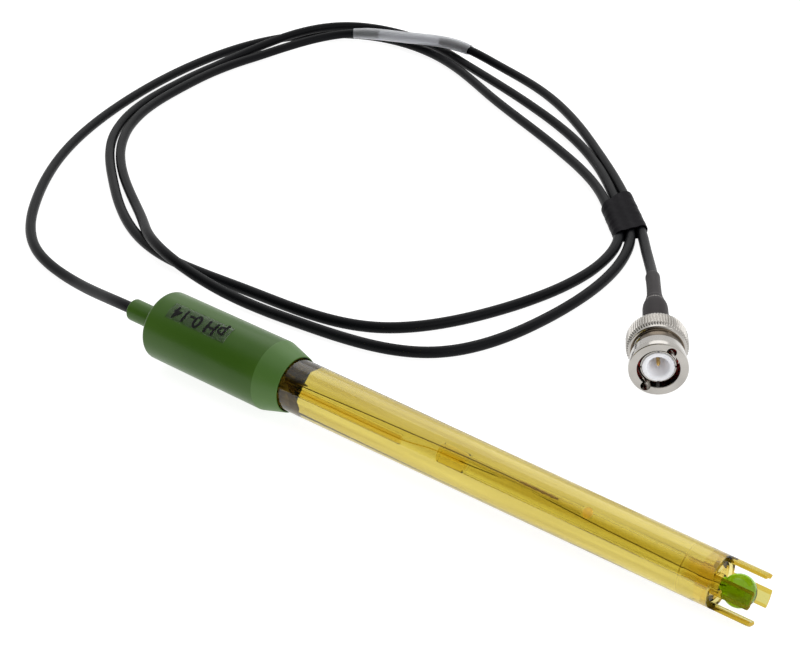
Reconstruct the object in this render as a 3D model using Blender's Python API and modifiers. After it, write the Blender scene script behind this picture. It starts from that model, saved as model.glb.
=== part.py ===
"""Combination pH electrode with its lead and BNC plug, at real size, lying on a table.

The origin is on the table, under the middle of the electrode. +X runs along the electrode
from its cap to its tip, +Z is up, and the lead and the plug lie on the +Y side.
Lengths are in millimetres below and become metres when the meshes are made.
"""

import math

import bmesh
import bpy
import numpy as np
from mathutils import Matrix, Vector

MM = 0.001

# Electrode: stations along its axis are measured from the mouth of the cap towards the tip.
MOUTH_X = -31.1
TUBE_RADIUS = 6.0
TUBE_END_RADIUS = 5.37
TUBE_END = 104.5
PRONG_LENGTH = 8.2
PRONG_TIP = TUBE_END + PRONG_LENGTH
PRONG_GAP = 4.5
PRONG_TURN = 14.1
WALL = 1.1
TUBE_START = -26.0
CAP_RADIUS = 8.13
CAP_SHOULDER = -5.8
CAP_REAR = -39.2
CAP_REAR_ROUND = 1.5
CAP_RIM_RADIUS = 6.5
CAP_BORE = 6.25
NECK_RADIUS = 2.62
NECK_END = -49.8
BULB_RADIUS = 3.25
BULB_X = 108.4
STEM_RADIUS = 1.65
STEM_START = 47.0
END_PLUG_START = 98.2
REFERENCE_TUBE_RADIUS = 0.75
REFERENCE_TUBE_END = 74.6
REFERENCE_TUBE_START = 48.0
REFERENCE_OFFSET = 2.5
REFERENCE_ANGLE = 113.0
WIRE_SLEEVE_RADIUS = 0.8
WIRE_SLEEVE_END = 30.5
WIRE_SLEEVE_PLACE = (-0.51, -0.68)
POTTING_END = 1.2
WIRE_RADIUS = 0.15
CLEARANCE = 0.3

# Lead.
LEAD_RADIUS = 1.375
LEAD_HEIGHT = 1.4
LEAD_START = -34.8
SLEEVE_RADIUS = 2.08
SLEEVE_WALL = 0.18
SLEEVE_FLATNESS = 1.13
SLEEVE_START = 1290.2
SLEEVE_FINISH = 1331.2
LABEL_RADIUS = 1.55
LABEL_WALL = 0.09
LABEL_START = 1300.2
LABEL_FINISH = 1316.2
TIE_LENGTH = 20.5
TIE_WALL = 0.3
TIE_CLEARANCE = 0.33
TIE_MIDDLE = (-24.7, 123.6)
TIE_HEIGHT = 2.05
TIE_HEADING = -46.4
STRAND_PITCH = 2.95
BOOT_RADIUS = 3.1
BOOT_TAIL_RADIUS = 2.05
BOOT_DROOP = 0.0062

# Plug: stations along its axis are measured from the front rim towards the rear.
PLUG_FACE = (26.85, 55.23)
PLUG_HEIGHT = 7.13
PLUG_HEADING = -57.5
KNURL_RADIUS = 7.1
BARREL_RADIUS = 6.68
WAIST_RADIUS = 5.95
SOCKET_RADIUS = 4.8
BARREL_END = 4.6
WAIST_END = 8.0
KNURL_END = 13.1
FLANGE_FACE = 7.7
FERRULE_START = 17.3
FERRULE_END = 29.0
BOOT_END = 46.3
BOOT_BEND = 38.0
LEAD_END = FERRULE_END + 1.0
SLOT_RADIUS = 1.15
SLOT_TURN = 240.0
SLOT_DEPTH = 5.15

SEGMENTS = 40
SMALL_SEGMENTS = 20

# The lead's route from the cap to the plug: x, y and height of its centre line.
# It drops to the table and runs round the coil clockwise, seen from above.
FIRST_TURN = [
    (-94.5, 3.3, 6.4),
    (-111.0, 8.7, 2.3),
    (-131.0, 14.5, 1.4),
    (-154.6, 34.7, 1.4),
    (-172.1, 61.4, 1.4),
    (-185.0, 100.0, 1.4),
    (-188.5, 138.0, 1.4),
    (-182.0, 165.5, 1.4),
    (-162.0, 184.2, 1.4),
    (-137.0, 185.6, 1.4),
    (-100.0, 168.6, 1.4),
    (-59.5, 147.6, 1.4),
]
# The second turn steps over the first on the far left and stays outside it at the top.
SECOND_TURN = [
    (-15.0, 92.6, 1.4),
    (-20.3, 67.0, 1.4),
    (-39.6, 38.7, 1.4),
    (-75.7, 32.9, 1.4),
    (-108.7, 33.8, 1.4),
    (-148.2, 56.8, 1.4),
    (-168.4, 76.4, 1.4),
    (-177.6, 94.3, 1.4),
    (-181.4, 114.0, 1.4),
    (-182.4, 133.0, 1.4),
    (-180.9, 149.0, 2.4),
    (-176.2, 166.0, 4.2),
    (-166.0, 182.0, 4.4),
    (-147.0, 191.6, 1.9),
    (-122.5, 185.2, 1.4),
    (-83.5, 169.0, 1.4),
    (-50.0, 148.9, 1.4),
]
# The third turn steps over the second at the bottom, and over both others at the top.
THIRD_TURN = [
    (-10.8, 98.3, 1.4),
    (-10.2, 69.5, 1.4),
    (-22.4, 37.8, 1.4),
    (-54.3, 28.9, 1.4),
    (-81.7, 27.8, 2.4),
    (-96.7, 29.0, 4.4),
    (-110.3, 34.1, 4.5),
    (-121.6, 42.2, 2.7),
    (-146.4, 59.4, 1.4),
    (-165.8, 78.2, 1.4),
    (-174.7, 95.3, 1.4),
    (-178.4, 114.4, 1.4),
    (-179.4, 133.0, 1.4),
    (-177.0, 150.0, 1.5),
    (-161.5, 177.4, 4.3),
    (-143.5, 184.0, 5.1),
    (-127.5, 188.2, 5.2),
    (-112.0, 188.6, 2.4),
    (-94.0, 183.4, 1.4),
    (-53.0, 155.3, 1.4),
]
# It rises from the tie to the boot.
LAST_STRETCH = [(-9.0, 109.6, 2.7)]
COIL_MIDDLE = (-95.0, 108.0)
SPOKES = 24
FIRST_SPOKE = 5.4
HARDEST_TURN = 24.0
CURVE_STEPS = 40


def clear_scene():
    """Empties the file of what it opened with."""
    for obj in list(bpy.data.objects):
        bpy.data.objects.remove(obj, do_unlink=True)


def new_collection(name):
    """A collection linked under the scene's own."""
    collection = bpy.data.collections.new(name)
    bpy.context.scene.collection.children.link(collection)
    return collection


clear_scene()
ELECTRODE = new_collection("ph_electrode")
CUTTERS = new_collection("cutters")
CUTTERS.hide_render = True


def make_material(name, color, roughness, metallic=0.0):
    """A plain Principled material."""
    material = bpy.data.materials.new(name)
    material.use_nodes = True
    shader = material.node_tree.nodes["Principled BSDF"]
    shader.inputs["Base Color"].default_value = (*color, 1.0)
    shader.inputs["Roughness"].default_value = roughness
    shader.inputs["Metallic"].default_value = metallic
    material.diffuse_color = (*color, 1.0)
    return material


MATERIALS = {
    "amber_plastic": make_material("amber_plastic", (0.78, 0.62, 0.12), 0.12),
    "green_plastic": make_material("green_plastic", (0.09, 0.2, 0.05), 0.4),
    "green_glass": make_material("green_glass", (0.15, 0.4, 0.02), 0.05),
    "clear_glass": make_material("clear_glass", (0.85, 0.88, 0.7), 0.05),
    "clear_sleeve": make_material("clear_sleeve", (0.6, 0.6, 0.62), 0.25),
    "white_label": make_material("white_label", (0.8, 0.8, 0.82), 0.5),
    "black_jacket": make_material("black_jacket", (0.02, 0.02, 0.023), 0.45),
    "boot_rubber": make_material("boot_rubber", (0.05, 0.045, 0.05), 0.5),
    "dark_potting": make_material("dark_potting", (0.05, 0.045, 0.02), 0.6),
    "silver_wire": make_material("silver_wire", (0.2, 0.14, 0.08), 0.4, 0.6),
    "junction_felt": make_material("junction_felt", (0.8, 0.5, 0.15), 0.8),
    "nickel": make_material("nickel", (0.7, 0.68, 0.65), 0.22, 1.0),
    "gold": make_material("gold", (0.85, 0.6, 0.2), 0.25, 1.0),
    "white_insulator": make_material("white_insulator", (0.85, 0.86, 0.88), 0.4),
    "red_gasket": make_material("red_gasket", (0.5, 0.05, 0.03), 0.5),
}


def new_object(name, data, parent, material=None, collection=ELECTRODE):
    """Links a mesh or curve object and rides it on its parent."""
    obj = bpy.data.objects.new(name, data)
    collection.objects.link(obj)
    obj.parent = parent
    if material:
        data.materials.append(MATERIALS[material])
    if collection is CUTTERS:
        obj.hide_render = True
        obj.display_type = "WIRE"
    return obj


def new_empty(name, location, heading=0.0, pitch=0.0):
    """An empty whose +X is turned by heading about Z and tipped down by pitch, in degrees."""
    empty = bpy.data.objects.new(name, None)
    ELECTRODE.objects.link(empty)
    empty.location = Vector(location) * MM
    empty.rotation_euler = (0.0, math.radians(pitch), math.radians(heading))
    empty.empty_display_size = 5 * MM
    return empty


def arc(centre_x, centre_r, radius, start, end, steps=5):
    """Points of an arc in the (x, r) plane, angles in degrees from +x towards +r."""
    points = []
    for step in range(steps + 1):
        angle = math.radians(start + (end - start) * step / steps)
        points.append((centre_x + radius * math.cos(angle), centre_r + radius * math.sin(angle)))
    return points


def signed_area(profile):
    """Twice the area that the profile encloses, positive when it runs anticlockwise."""
    pairs = zip(profile, profile[1:] + profile[:1])
    return sum(a[0] * b[1] - b[0] * a[1] for a, b in pairs)


def turned(name, profile, parent, material=None, segments=SEGMENTS, ring=False, collection=ELECTRODE):
    """Turns an (x, r) profile about the parent's X axis. A ring's profile is a closed loop."""
    if signed_area(profile) < 0:
        profile = profile[::-1]
    mesh = bpy.data.meshes.new(name)
    edges = [(i, i + 1) for i in range(len(profile) - 1)]
    if ring:
        edges.append((len(profile) - 1, 0))
    mesh.from_pydata([(x * MM, r * MM, 0.0) for x, r in profile], edges, [])
    obj = new_object(name, mesh, parent, material, collection)
    screw = obj.modifiers.new("turn", "SCREW")
    screw.axis = "X"
    screw.steps = segments
    screw.render_steps = segments
    screw.use_merge_vertices = True
    screw.merge_threshold = 0.00001
    screw.use_smooth_shade = True
    return obj


def ring_profile(start, end, inner, outer):
    """The rectangle that a plain ring is turned from."""
    return [(start, inner), (start, outer), (end, outer), (end, inner)]


def plain_ring(name, start, end, inner, outer, parent, material, segments=SEGMENTS):
    """A washer or tube of one wall thickness."""
    profile = ring_profile(start, end, inner, outer)
    return turned(name, profile, parent, material, segments, ring=True)


def box_cutter(name, low, high, parent, turn=0.0):
    """A box between two corners, turned about its parent's X axis, for cutting."""
    mesh = bpy.data.meshes.new(name)
    shape = bmesh.new()
    bmesh.ops.create_cube(shape, size=1.0)
    size = Vector(high) - Vector(low)
    middle = (Vector(high) + Vector(low)) / 2
    for vertex in shape.verts:
        vertex.co = Vector(c * s + m for c, s, m in zip(vertex.co, size, middle)) * MM
    shape.to_mesh(mesh)
    shape.free()
    cutter = new_object(name, mesh, parent, collection=CUTTERS)
    cutter.rotation_euler.x = math.radians(turn)
    return cutter


def cut(obj, cutter):
    """Takes the cutter's shape out of the object."""
    boolean = obj.modifiers.new("cut_" + cutter.name, "BOOLEAN")
    boolean.operation = "DIFFERENCE"
    boolean.solver = "EXACT"
    boolean.object = cutter


def path_curve(name, points, radius, parent, material=None, resolution=2, caps=True):
    """A round bar or tube skin along a chain of points."""
    curve = bpy.data.curves.new(name, "CURVE")
    curve.dimensions = "3D"
    curve.bevel_depth = radius * MM
    curve.bevel_resolution = resolution
    curve.use_fill_caps = caps
    spline = curve.splines.new("POLY")
    spline.points.add(len(points) - 1)
    for point, position in zip(spline.points, points):
        point.co = (*(Vector(position) * MM), 1.0)
    return new_object(name, curve, parent, material)


def as_mesh(obj):
    """Swaps an object for one that holds its evaluated mesh, with the same place and material."""
    bpy.context.view_layer.update()
    graph = bpy.context.evaluated_depsgraph_get()
    mesh = bpy.data.meshes.new_from_object(obj.evaluated_get(graph))
    shape = bmesh.new()
    shape.from_mesh(mesh)
    bmesh.ops.remove_doubles(shape, verts=shape.verts, dist=1e-6)
    shape.to_mesh(mesh)
    shape.free()
    name = obj.name
    collection = obj.users_collection[0]
    parent = obj.parent
    place = obj.matrix_world.copy()
    bpy.data.objects.remove(obj, do_unlink=True)
    fresh = bpy.data.objects.new(name, mesh)
    mesh.name = name
    collection.objects.link(fresh)
    fresh.parent = parent
    fresh.matrix_world = place
    if collection is CUTTERS:
        fresh.hide_render = True
        fresh.display_type = "WIRE"
    return fresh


def spline_slopes(points, spans):
    """The slope at each point of the smooth curve through all of them, free at both ends."""
    count = len(points)
    matrix = np.zeros((count, count))
    right = np.zeros((count, 3))
    chords = np.diff(points, axis=0) / spans[:, None]
    matrix[0, :2] = (2.0, 1.0)
    matrix[-1, -2:] = (1.0, 2.0)
    right[0] = 3.0 * chords[0]
    right[-1] = 3.0 * chords[-1]
    for i in range(1, count - 1):
        matrix[i, i - 1 : i + 2] = (spans[i], 2.0 * (spans[i - 1] + spans[i]), spans[i - 1])
        right[i] = 3.0 * (spans[i] * chords[i - 1] + spans[i - 1] * chords[i])
    return np.linalg.solve(matrix, right)


def smooth_curve(points, steps):
    """Many points of the smooth curve through the given ones, none lower than the table allows."""
    points = np.array(points, float)
    spans = np.linalg.norm(np.diff(points, axis=0), axis=1)
    slopes = spline_slopes(points, spans)
    fine = []
    for i, span in enumerate(spans):
        for t in np.arange(steps) / steps:
            place = (1 + 2 * t) * (1 - t) ** 2 * points[i] + t * t * (3 - 2 * t) * points[i + 1]
            lean = t * (1 - t) ** 2 * slopes[i] - t * t * (1 - t) * slopes[i + 1]
            fine.append(place + span * lean)
    fine.append(points[-1])
    fine = np.array(fine)
    fine[:, 2] = np.maximum(fine[:, 2], LEAD_HEIGHT)
    return fine


def thinned(fine):
    """A chain of fewer points along a curve, for strands that stay parallel side by side.

    They lie on spokes about the coil's middle, two of which meet the ends of the tie, with
    more of them where the curve bends hard.
    """
    chain = [fine[0]]
    last_spoke = None
    turn = 0.0
    for before, point, after in zip(fine, fine[1:], fine[2:]):
        first = point - before
        second = after - point
        lengths = np.linalg.norm(first) * np.linalg.norm(second)
        turn += math.degrees(math.acos(min(1.0, float(first @ second) / lengths)))
        bearing = math.degrees(math.atan2(point[1] - COIL_MIDDLE[1], point[0] - COIL_MIDDLE[0]))
        spoke = math.floor((bearing - FIRST_SPOKE) / 360.0 * SPOKES)
        if turn > HARDEST_TURN or spoke != last_spoke:
            chain.append(point)
            last_spoke = spoke
            turn = 0.0
    chain.append(fine[-1])
    return [tuple(float(c) for c in point) for point in chain]


# ---------------------------------------------------------------- the electrode

# The cap's shoulder and the tip of a prong rest on the table, so the axis tips down a little.
TILT = math.degrees(math.asin((CAP_RADIUS - TUBE_END_RADIUS) / (PRONG_TIP - CAP_SHOULDER)))
AXIS_HEIGHT = CAP_RADIUS * math.cos(math.radians(TILT)) + CAP_SHOULDER * math.sin(math.radians(TILT))


def tube_radius(station):
    """The outer radius of the tapered tube."""
    share = max(0.0, station) / TUBE_END
    return TUBE_RADIUS + (TUBE_END_RADIUS - TUBE_RADIUS) * share


def axis_point(station):
    """World position of a station on the electrode's axis."""
    angle = math.radians(TILT)
    return (MOUTH_X + station * math.cos(angle), 0.0, AXIS_HEIGHT - station * math.sin(angle))


def off_axis(station, radius, angle):
    """A local point at a radius and an angle, in degrees from the local +Y towards +Z."""
    angle = math.radians(angle)
    return (station, radius * math.cos(angle), radius * math.sin(angle))


def build_body_tube(probe):
    """The tapered amber tube with four guard prongs left by two crossing slots."""
    tip_inner = tube_radius(PRONG_TIP) - WALL + 0.1
    profile = [
        (TUBE_START, TUBE_RADIUS),
        (0.0, TUBE_RADIUS),
        (PRONG_TIP - 0.25, tube_radius(PRONG_TIP)),
        (PRONG_TIP, tube_radius(PRONG_TIP) - 0.25),
        (PRONG_TIP, tip_inner),
        (0.0, TUBE_RADIUS - WALL),
        (TUBE_START, TUBE_RADIUS - WALL),
    ]
    tube = turned("body_tube", profile, probe, "amber_plastic", 48, ring=True)
    half = PRONG_GAP / 2
    for index, turn in enumerate((PRONG_TURN, PRONG_TURN + 90.0)):
        low = (TUBE_END, -half, -8.0)
        high = (PRONG_TIP + 2.0, half, 8.0)
        cut(tube, box_cutter(f"prong_gap_{index}", low, high, probe, turn))
    return tube


def build_sensor(probe):
    """The end plug, the bulb on its stem and the junction that lets the solution in."""
    plug_inner = tube_radius(END_PLUG_START) - WALL - 0.12
    plug = plain_ring(
        "end_plug", END_PLUG_START, TUBE_END - 0.5, STEM_RADIUS + 0.15, plug_inner, probe, "amber_plastic"
    )
    junction_place = off_axis(TUBE_END - 3.2, 3.35, 96.0)
    hole = box_cutter("junction_hole", (-5.0, -0.6, -0.6), (5.0, 0.6, 0.6), probe)
    hole.location = Vector(junction_place) * MM
    cut(plug, hole)
    start = off_axis(TUBE_END - 6.0, 3.35, 96.0)
    end = off_axis(TUBE_END - 0.35, 3.35, 96.0)
    path_curve("outer_junction", [start, end], 0.42, probe, "junction_felt")
    stem_bore = STEM_RADIUS - 0.5
    stem_end = BULB_X - math.sqrt(BULB_RADIUS**2 - stem_bore**2) - CLEARANCE
    plain_ring(
        "glass_stem", STEM_START, stem_end, stem_bore, STEM_RADIUS, probe, "clear_glass", 28
    )
    inner = BULB_RADIUS - 0.4
    neck_half = 1.5
    neck_angle = math.degrees(math.asin(neck_half / BULB_RADIUS))
    inner_angle = math.degrees(math.asin(neck_half / inner))
    outside = arc(BULB_X, 0.0, BULB_RADIUS, 0.0, 180.0 - neck_angle, 12)
    inside = arc(BULB_X, 0.0, inner, 180.0 - inner_angle, 0.0, 9)
    turned("ph_bulb", outside + inside, probe, "green_glass", 28)
    plain_ring(
        "stem_stopper", 40.0, STEM_START - CLEARANCE, 0.5, STEM_RADIUS, probe, "clear_glass", SMALL_SEGMENTS
    )
    y, z = WIRE_SLEEVE_PLACE
    start = POTTING_END + CLEARANCE
    sleeve_axis = new_empty("sleeve_axis", (0, 0, 0))
    sleeve_axis.parent = probe
    sleeve_axis.location = Vector((0.0, y, z)) * MM
    plain_ring(
        "wire_sleeve",
        start,
        WIRE_SLEEVE_END,
        WIRE_SLEEVE_RADIUS - 0.3,
        WIRE_SLEEVE_RADIUS,
        sleeve_axis,
        "clear_sleeve",
        SMALL_SEGMENTS,
    )
    wire = [
        (start, y, z),
        (WIRE_SLEEVE_END, y, z),
        (35.0, y / 2, z / 2),
        (39.0, 0.0, 0.0),
        (47.5, 0.0, 0.0),
        (56.0, 0.1, 0.4),
        (57.0, 0.0, 0.7),
        (70.0, 0.1, 0.2),
        (88.0, 0.0, -0.4),
        (103.0, 0.0, -0.6),
        (106.5, 0.0, -0.2),
    ]
    path_curve("measuring_wire", wire, WIRE_RADIUS, probe, "silver_wire", 1)


def build_reference(probe):
    """The inner reference tube with its silver wire, coated element and inner junction."""
    wire_start = POTTING_END + CLEARANCE
    centre = off_axis(0.0, REFERENCE_OFFSET, REFERENCE_ANGLE)
    carrier = new_empty("reference_axis", (0, 0, 0))
    carrier.parent = probe
    carrier.location = Vector(centre) * MM
    plain_ring(
        "reference_tube",
        REFERENCE_TUBE_START,
        REFERENCE_TUBE_END,
        REFERENCE_TUBE_RADIUS - 0.25,
        REFERENCE_TUBE_RADIUS,
        carrier,
        "clear_glass",
        SMALL_SEGMENTS,
    )
    wire = [
        (wire_start, 0.477, -1.7),
        (24.0, 0.24, -0.85),
        (44.0, 0.03, -0.11),
        (REFERENCE_TUBE_START, 0.0, 0.0),
        (59.7, 0.0, 0.0),
    ]
    path_curve("reference_wire", wire, WIRE_RADIUS, carrier, "silver_wire", 1)
    path_curve("reference_element", [(60.0, 0, 0), (69.0, 0, 0)], 0.32, carrier, "silver_wire")
    bead = arc(REFERENCE_TUBE_END + 1.2, 0.0, 0.85, 0.0, 180.0, 10)
    turned("inner_junction", bead, carrier, "junction_felt", SMALL_SEGMENTS)


def build_cap(probe):
    """The green cap, the seal and label on it, and what it holds."""
    rear_x = CAP_REAR + CAP_REAR_ROUND
    rear = arc(rear_x, CAP_RADIUS - CAP_REAR_ROUND, CAP_REAR_ROUND, 180.0, 90.0, 5)
    shoulder = arc(CAP_SHOULDER - 0.6, CAP_RADIUS - 2.4, 2.4, 90.0, 68.0, 3)
    neck = arc(NECK_END + 1.0, NECK_RADIUS - 1.0, 1.0, 180.0, 90.0, 3)
    lead_bore = LEAD_RADIUS + CLEARANCE
    profile = [(NECK_END, lead_bore)] + neck + [(CAP_REAR, NECK_RADIUS)] + rear + shoulder
    profile += [
        (0.0, CAP_RIM_RADIUS),
        (0.0, CAP_BORE),
        (TUBE_START - CLEARANCE, CAP_BORE),
        (TUBE_START - CLEARANCE, 5.0),
        (-35.6, 5.0),
        (-36.8, lead_bore),
    ]
    cap = turned("cap", profile, probe, "green_plastic", 56, ring=True)
    label = ring_profile(-34.2, -16.6, CAP_RADIUS + 0.04, CAP_RADIUS + 0.16)
    film = turned("cap_label", label, probe, "clear_sleeve", 56, ring=True)
    keep = box_cutter("label_window", (-36.0, -2.15, 4.0), (-15.0, 2.15, 12.0), probe, 23.0)
    boolean = film.modifiers.new("keep_window", "BOOLEAN")
    boolean.operation = "INTERSECT"
    boolean.solver = "EXACT"
    boolean.object = keep
    groove = ring_profile(-4.4, -2.4, CAP_BORE - 0.5, CAP_BORE + 0.42)
    cut(cap, turned("seal_groove", groove, probe, segments=56, ring=True, collection=CUTTERS))
    seal = arc(-3.4, TUBE_RADIUS + 0.36, 0.28, 0.0, 315.0, 7)
    turned("cap_seal", seal, probe, "boot_rubber", 48, ring=True)
    fill = [
        (TUBE_START + 0.4, 0.0),
        (TUBE_START + 0.4, TUBE_RADIUS - WALL - 0.2),
        (POTTING_END, TUBE_RADIUS - WALL - 0.2),
        (POTTING_END, 0.0),
    ]
    turned("potting", fill, probe, "dark_potting", 32)
    clamp_end = LEAD_START + 0.2
    plain_ring("cable_clamp", -35.4, clamp_end, lead_bore, 2.9, probe, "nickel", SMALL_SEGMENTS)
    path_curve("cable_core", [(LEAD_START + CLEARANCE, 0, 0), (-31.6, 0, 0)], 0.6, probe, "white_insulator")
    for name, side in (("core_splice", 1.6), ("shield_splice", -1.6)):
        path_curve(name, [(-31.2, side, 0), (-26.2, side, 0)], 0.75, probe, "clear_sleeve")


def build_electrode():
    """The whole electrode on an empty whose X axis is the electrode's own."""
    probe = new_empty("electrode_axis", (MOUTH_X, 0.0, AXIS_HEIGHT), pitch=TILT)
    build_body_tube(probe)
    build_sensor(probe)
    build_reference(probe)
    build_cap(probe)
    return probe


# ---------------------------------------------------------------- the plug


def boot_droop(station):
    """How far the boot's tail has dropped, behind the crimped stretch."""
    return BOOT_DROOP * max(0.0, station - FERRULE_END) ** 2


def plug_point(station):
    """World position of a point on the plug's centre line, which droops behind the crimp."""
    heading = math.radians(PLUG_HEADING)
    x = PLUG_FACE[0] - station * math.cos(heading)
    y = PLUG_FACE[1] - station * math.sin(heading)
    return (x, y, PLUG_HEIGHT - boot_droop(station))


def build_plug_core(plug):
    """What stays still in the plug: body, contacts, insulator, seal and crimp."""
    body = [
        (-FLANGE_FACE, 2.0),
        (-FLANGE_FACE, 5.45),
        (-FLANGE_FACE - 1.0, 5.45),
        (-FLANGE_FACE - 1.0, 4.3),
        (-13.5, 4.3),
        (-13.5, 3.9),
        (-14.3, 3.9),
        (-14.3, 4.5),
        (-16.9, 4.5),
        (-16.9, 1.7),
        (-24.5, 1.7),
        (-24.5, 1.2),
        (-14.5, 1.2),
        (-14.5, 2.0),
    ]
    turned("plug_body", body, plug, "nickel", SEGMENTS, ring=True)
    contact = plain_ring("outer_contact", -7.4, -1.2, 3.82, 4.15, plug, "nickel")
    for index, turn in enumerate((0.0, 90.0)):
        cutter = box_cutter(f"contact_slit_{index}", (-5.5, -0.25, -6.0), (0.0, 0.25, 6.0), plug, turn)
        cut(contact, cutter)
    insulator = [
        (-1.0, 2.45),
        (-1.0, 3.5),
        (-1.25, 3.7),
        (-7.4, 3.7),
        (-7.4, 1.7),
        (-14.2, 1.7),
        (-14.2, 0.95),
        (-6.5, 0.95),
        (-6.0, 1.5),
    ]
    turned("insulator", insulator, plug, "white_insulator", SEGMENTS, ring=True)
    pin = [(-1.9, 0.0), (-2.0, 0.35), (-2.6, 0.68), (-13.9, 0.68), (-13.9, 0.0)]
    turned("centre_pin", pin, plug, "gold", SMALL_SEGMENTS)
    plain_ring("gasket", -7.4, -5.8, 4.28, 4.66, plug, "red_gasket")
    ferrule = ring_profile(-FERRULE_END, -FERRULE_START, 2.1, 2.6)
    turned("crimp_ferrule", ferrule, plug, "nickel", SMALL_SEGMENTS + 4, ring=True)
    clip = plain_ring("retaining_ring", -14.15, -13.62, 4.05, 5.2, plug, "nickel")
    cut(clip, box_cutter("clip_gap", (-15.0, -1.2, 2.0), (-13.0, 1.2, 7.0), plug, 180.0))


def build_wave_washer(plug):
    """A thin ring with three waves, between the body's flange and the thrust washer."""
    washer = as_mesh(plain_ring("wave_washer", -9.65, -9.4, 4.55, 5.4, plug, "nickel", 36))
    for vertex in washer.data.vertices:
        around = math.atan2(vertex.co.z, vertex.co.y)
        vertex.co.x += 0.4 * MM * math.cos(3 * around)
    return washer


def build_boot(plug):
    """The black shrink boot: wide on the ferrule, narrow on the lead, and bent with it."""
    outer_tail = BOOT_TAIL_RADIUS
    inner_tail = LEAD_RADIUS + 0.4
    outside = [(-FERRULE_START + 0.1, BOOT_RADIUS), (-FERRULE_END - 0.4, BOOT_RADIUS)]
    outside += [(-FERRULE_END - 2.4, outer_tail + 0.25), (-FERRULE_END - 3.4, outer_tail)]
    inside = [(-FERRULE_END - 2.8, inner_tail), (-FERRULE_END - 0.2, 2.85)]
    steps = 5
    start = FERRULE_END + 3.4
    for step in range(1, steps + 1):
        station = start + (BOOT_END - start) * step / steps
        outside.append((-station, outer_tail))
        inside.insert(0, (-station, inner_tail))
    inside.append((-FERRULE_START + 0.1, 2.85))
    boot = as_mesh(turned("boot", outside + inside, plug, "boot_rubber", SMALL_SEGMENTS + 4, ring=True))
    for vertex in boot.data.vertices:
        vertex.co.z -= boot_droop(-vertex.co.x / MM) * MM
    return boot


def slot_cutter(index, washer):
    """The tool that mills one bayonet slot: in at the mouth, then back and round to the waist."""
    steps = [
        (1.0, 0.0, 0.0),
        (-1.8, 0.0, 0.0),
        (-3.0, 8.0, 0.0),
        (-4.2, 30.0, 0.2),
        (-5.2, 58.0, 0.7),
        (-5.9, 84.0, 0.9),
        (-5.9, 104.0, 0.9),
    ]
    path = []
    for x, turn, deeper in steps:
        around = math.radians(SLOT_TURN + 180.0 * index - turn)
        radius = SLOT_DEPTH + deeper
        path.append((x, radius * math.cos(around), radius * math.sin(around)))
    tool = as_mesh(path_curve(f"slot_tool_{index}", path, SLOT_RADIUS, washer, resolution=2))
    tool.hide_render = True
    tool.display_type = "WIRE"
    ELECTRODE.objects.unlink(tool)
    CUTTERS.objects.link(tool)
    return tool


def build_coupling(plug):
    """The bayonet sleeve and the washer that it turns on, each on the plug's axis."""
    washer = plain_ring("thrust_washer", -11.0, -10.4, 4.5, 5.45, plug, "nickel")
    sleeve = [
        (0.0, SOCKET_RADIUS),
        (0.0, BARREL_RADIUS - 0.25),
        (-0.25, BARREL_RADIUS),
        (-BARREL_END + 0.25, BARREL_RADIUS),
        (-BARREL_END, WAIST_RADIUS),
        (-WAIST_END, WAIST_RADIUS),
        (-WAIST_END - 0.1, KNURL_RADIUS - 0.45),
        (-WAIST_END - 0.6, KNURL_RADIUS),
        (-KNURL_END + 0.3, KNURL_RADIUS),
        (-KNURL_END, KNURL_RADIUS - 0.3),
        (-KNURL_END, 4.6),
        (-11.3, 4.6),
        (-11.3, 5.7),
        (-FLANGE_FACE + 0.3, 5.7),
        (-FLANGE_FACE + 0.7, SOCKET_RADIUS),
    ]
    coupling = turned("coupling_sleeve", sleeve, washer, "nickel", 56, ring=True)
    for index in range(2):
        cut(coupling, slot_cutter(index, washer))


def build_plug():
    """The whole plug on an empty whose X axis points out of its mouth."""
    place = (PLUG_FACE[0], PLUG_FACE[1], PLUG_HEIGHT)
    plug = new_empty("plug_axis", place, heading=PLUG_HEADING)
    build_plug_core(plug)
    build_wave_washer(plug)
    build_boot(plug)
    build_coupling(plug)
    return plug


# ---------------------------------------------------------------- the lead


def tie_point(lane, along):
    """A point inside the tie: in one of its lanes, from -1 inside to 1 outside, and along it."""
    angle = math.radians(TIE_HEADING)
    side = -lane * STRAND_PITCH
    x = TIE_MIDDLE[0] + along * math.cos(angle) + side * math.sin(angle)
    y = TIE_MIDDLE[1] + along * math.sin(angle) - side * math.cos(angle)
    return (x, y, TIE_HEIGHT)


def lead_route():
    """The lead's whole route, from inside the cap's neck to inside the boot."""
    route = [axis_point(LEAD_START), axis_point(NECK_END - 1.0)] + FIRST_TURN
    for lane, after in ((-1, SECOND_TURN), (0, THIRD_TURN), (1, LAST_STRETCH)):
        route += [tie_point(lane, along) for along in (-9.5, 0.0, 9.5)] + after
    return route + [plug_point(s) for s in (BOOT_END, BOOT_BEND, LEAD_END)]


def lead_chain():
    """The points of the lead's plain solid, kept mid-way in the neck and in the boot."""
    outside = smooth_curve(lead_route(), CURVE_STEPS)[CURVE_STEPS : -2 * CURVE_STEPS]
    stations = np.linspace(BOOT_END, LEAD_END, 7)[1:]
    tail = [plug_point(float(s)) for s in stations]
    return [axis_point(LEAD_START)] + thinned(outside) + tail


def stretch(chain, start, end):
    """The part of a chain of points between two lengths along it."""
    inside = []
    run = 0.0
    for point, after in zip(chain, chain[1:]):
        step = math.dist(point, after)
        for place in (start, end):
            if run < place < run + step:
                share = (place - run) / step
                inside.append(tuple(a + share * (b - a) for a, b in zip(point, after)))
        if start < run + step < end:
            inside.append(after)
        run += step
    return inside


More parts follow.
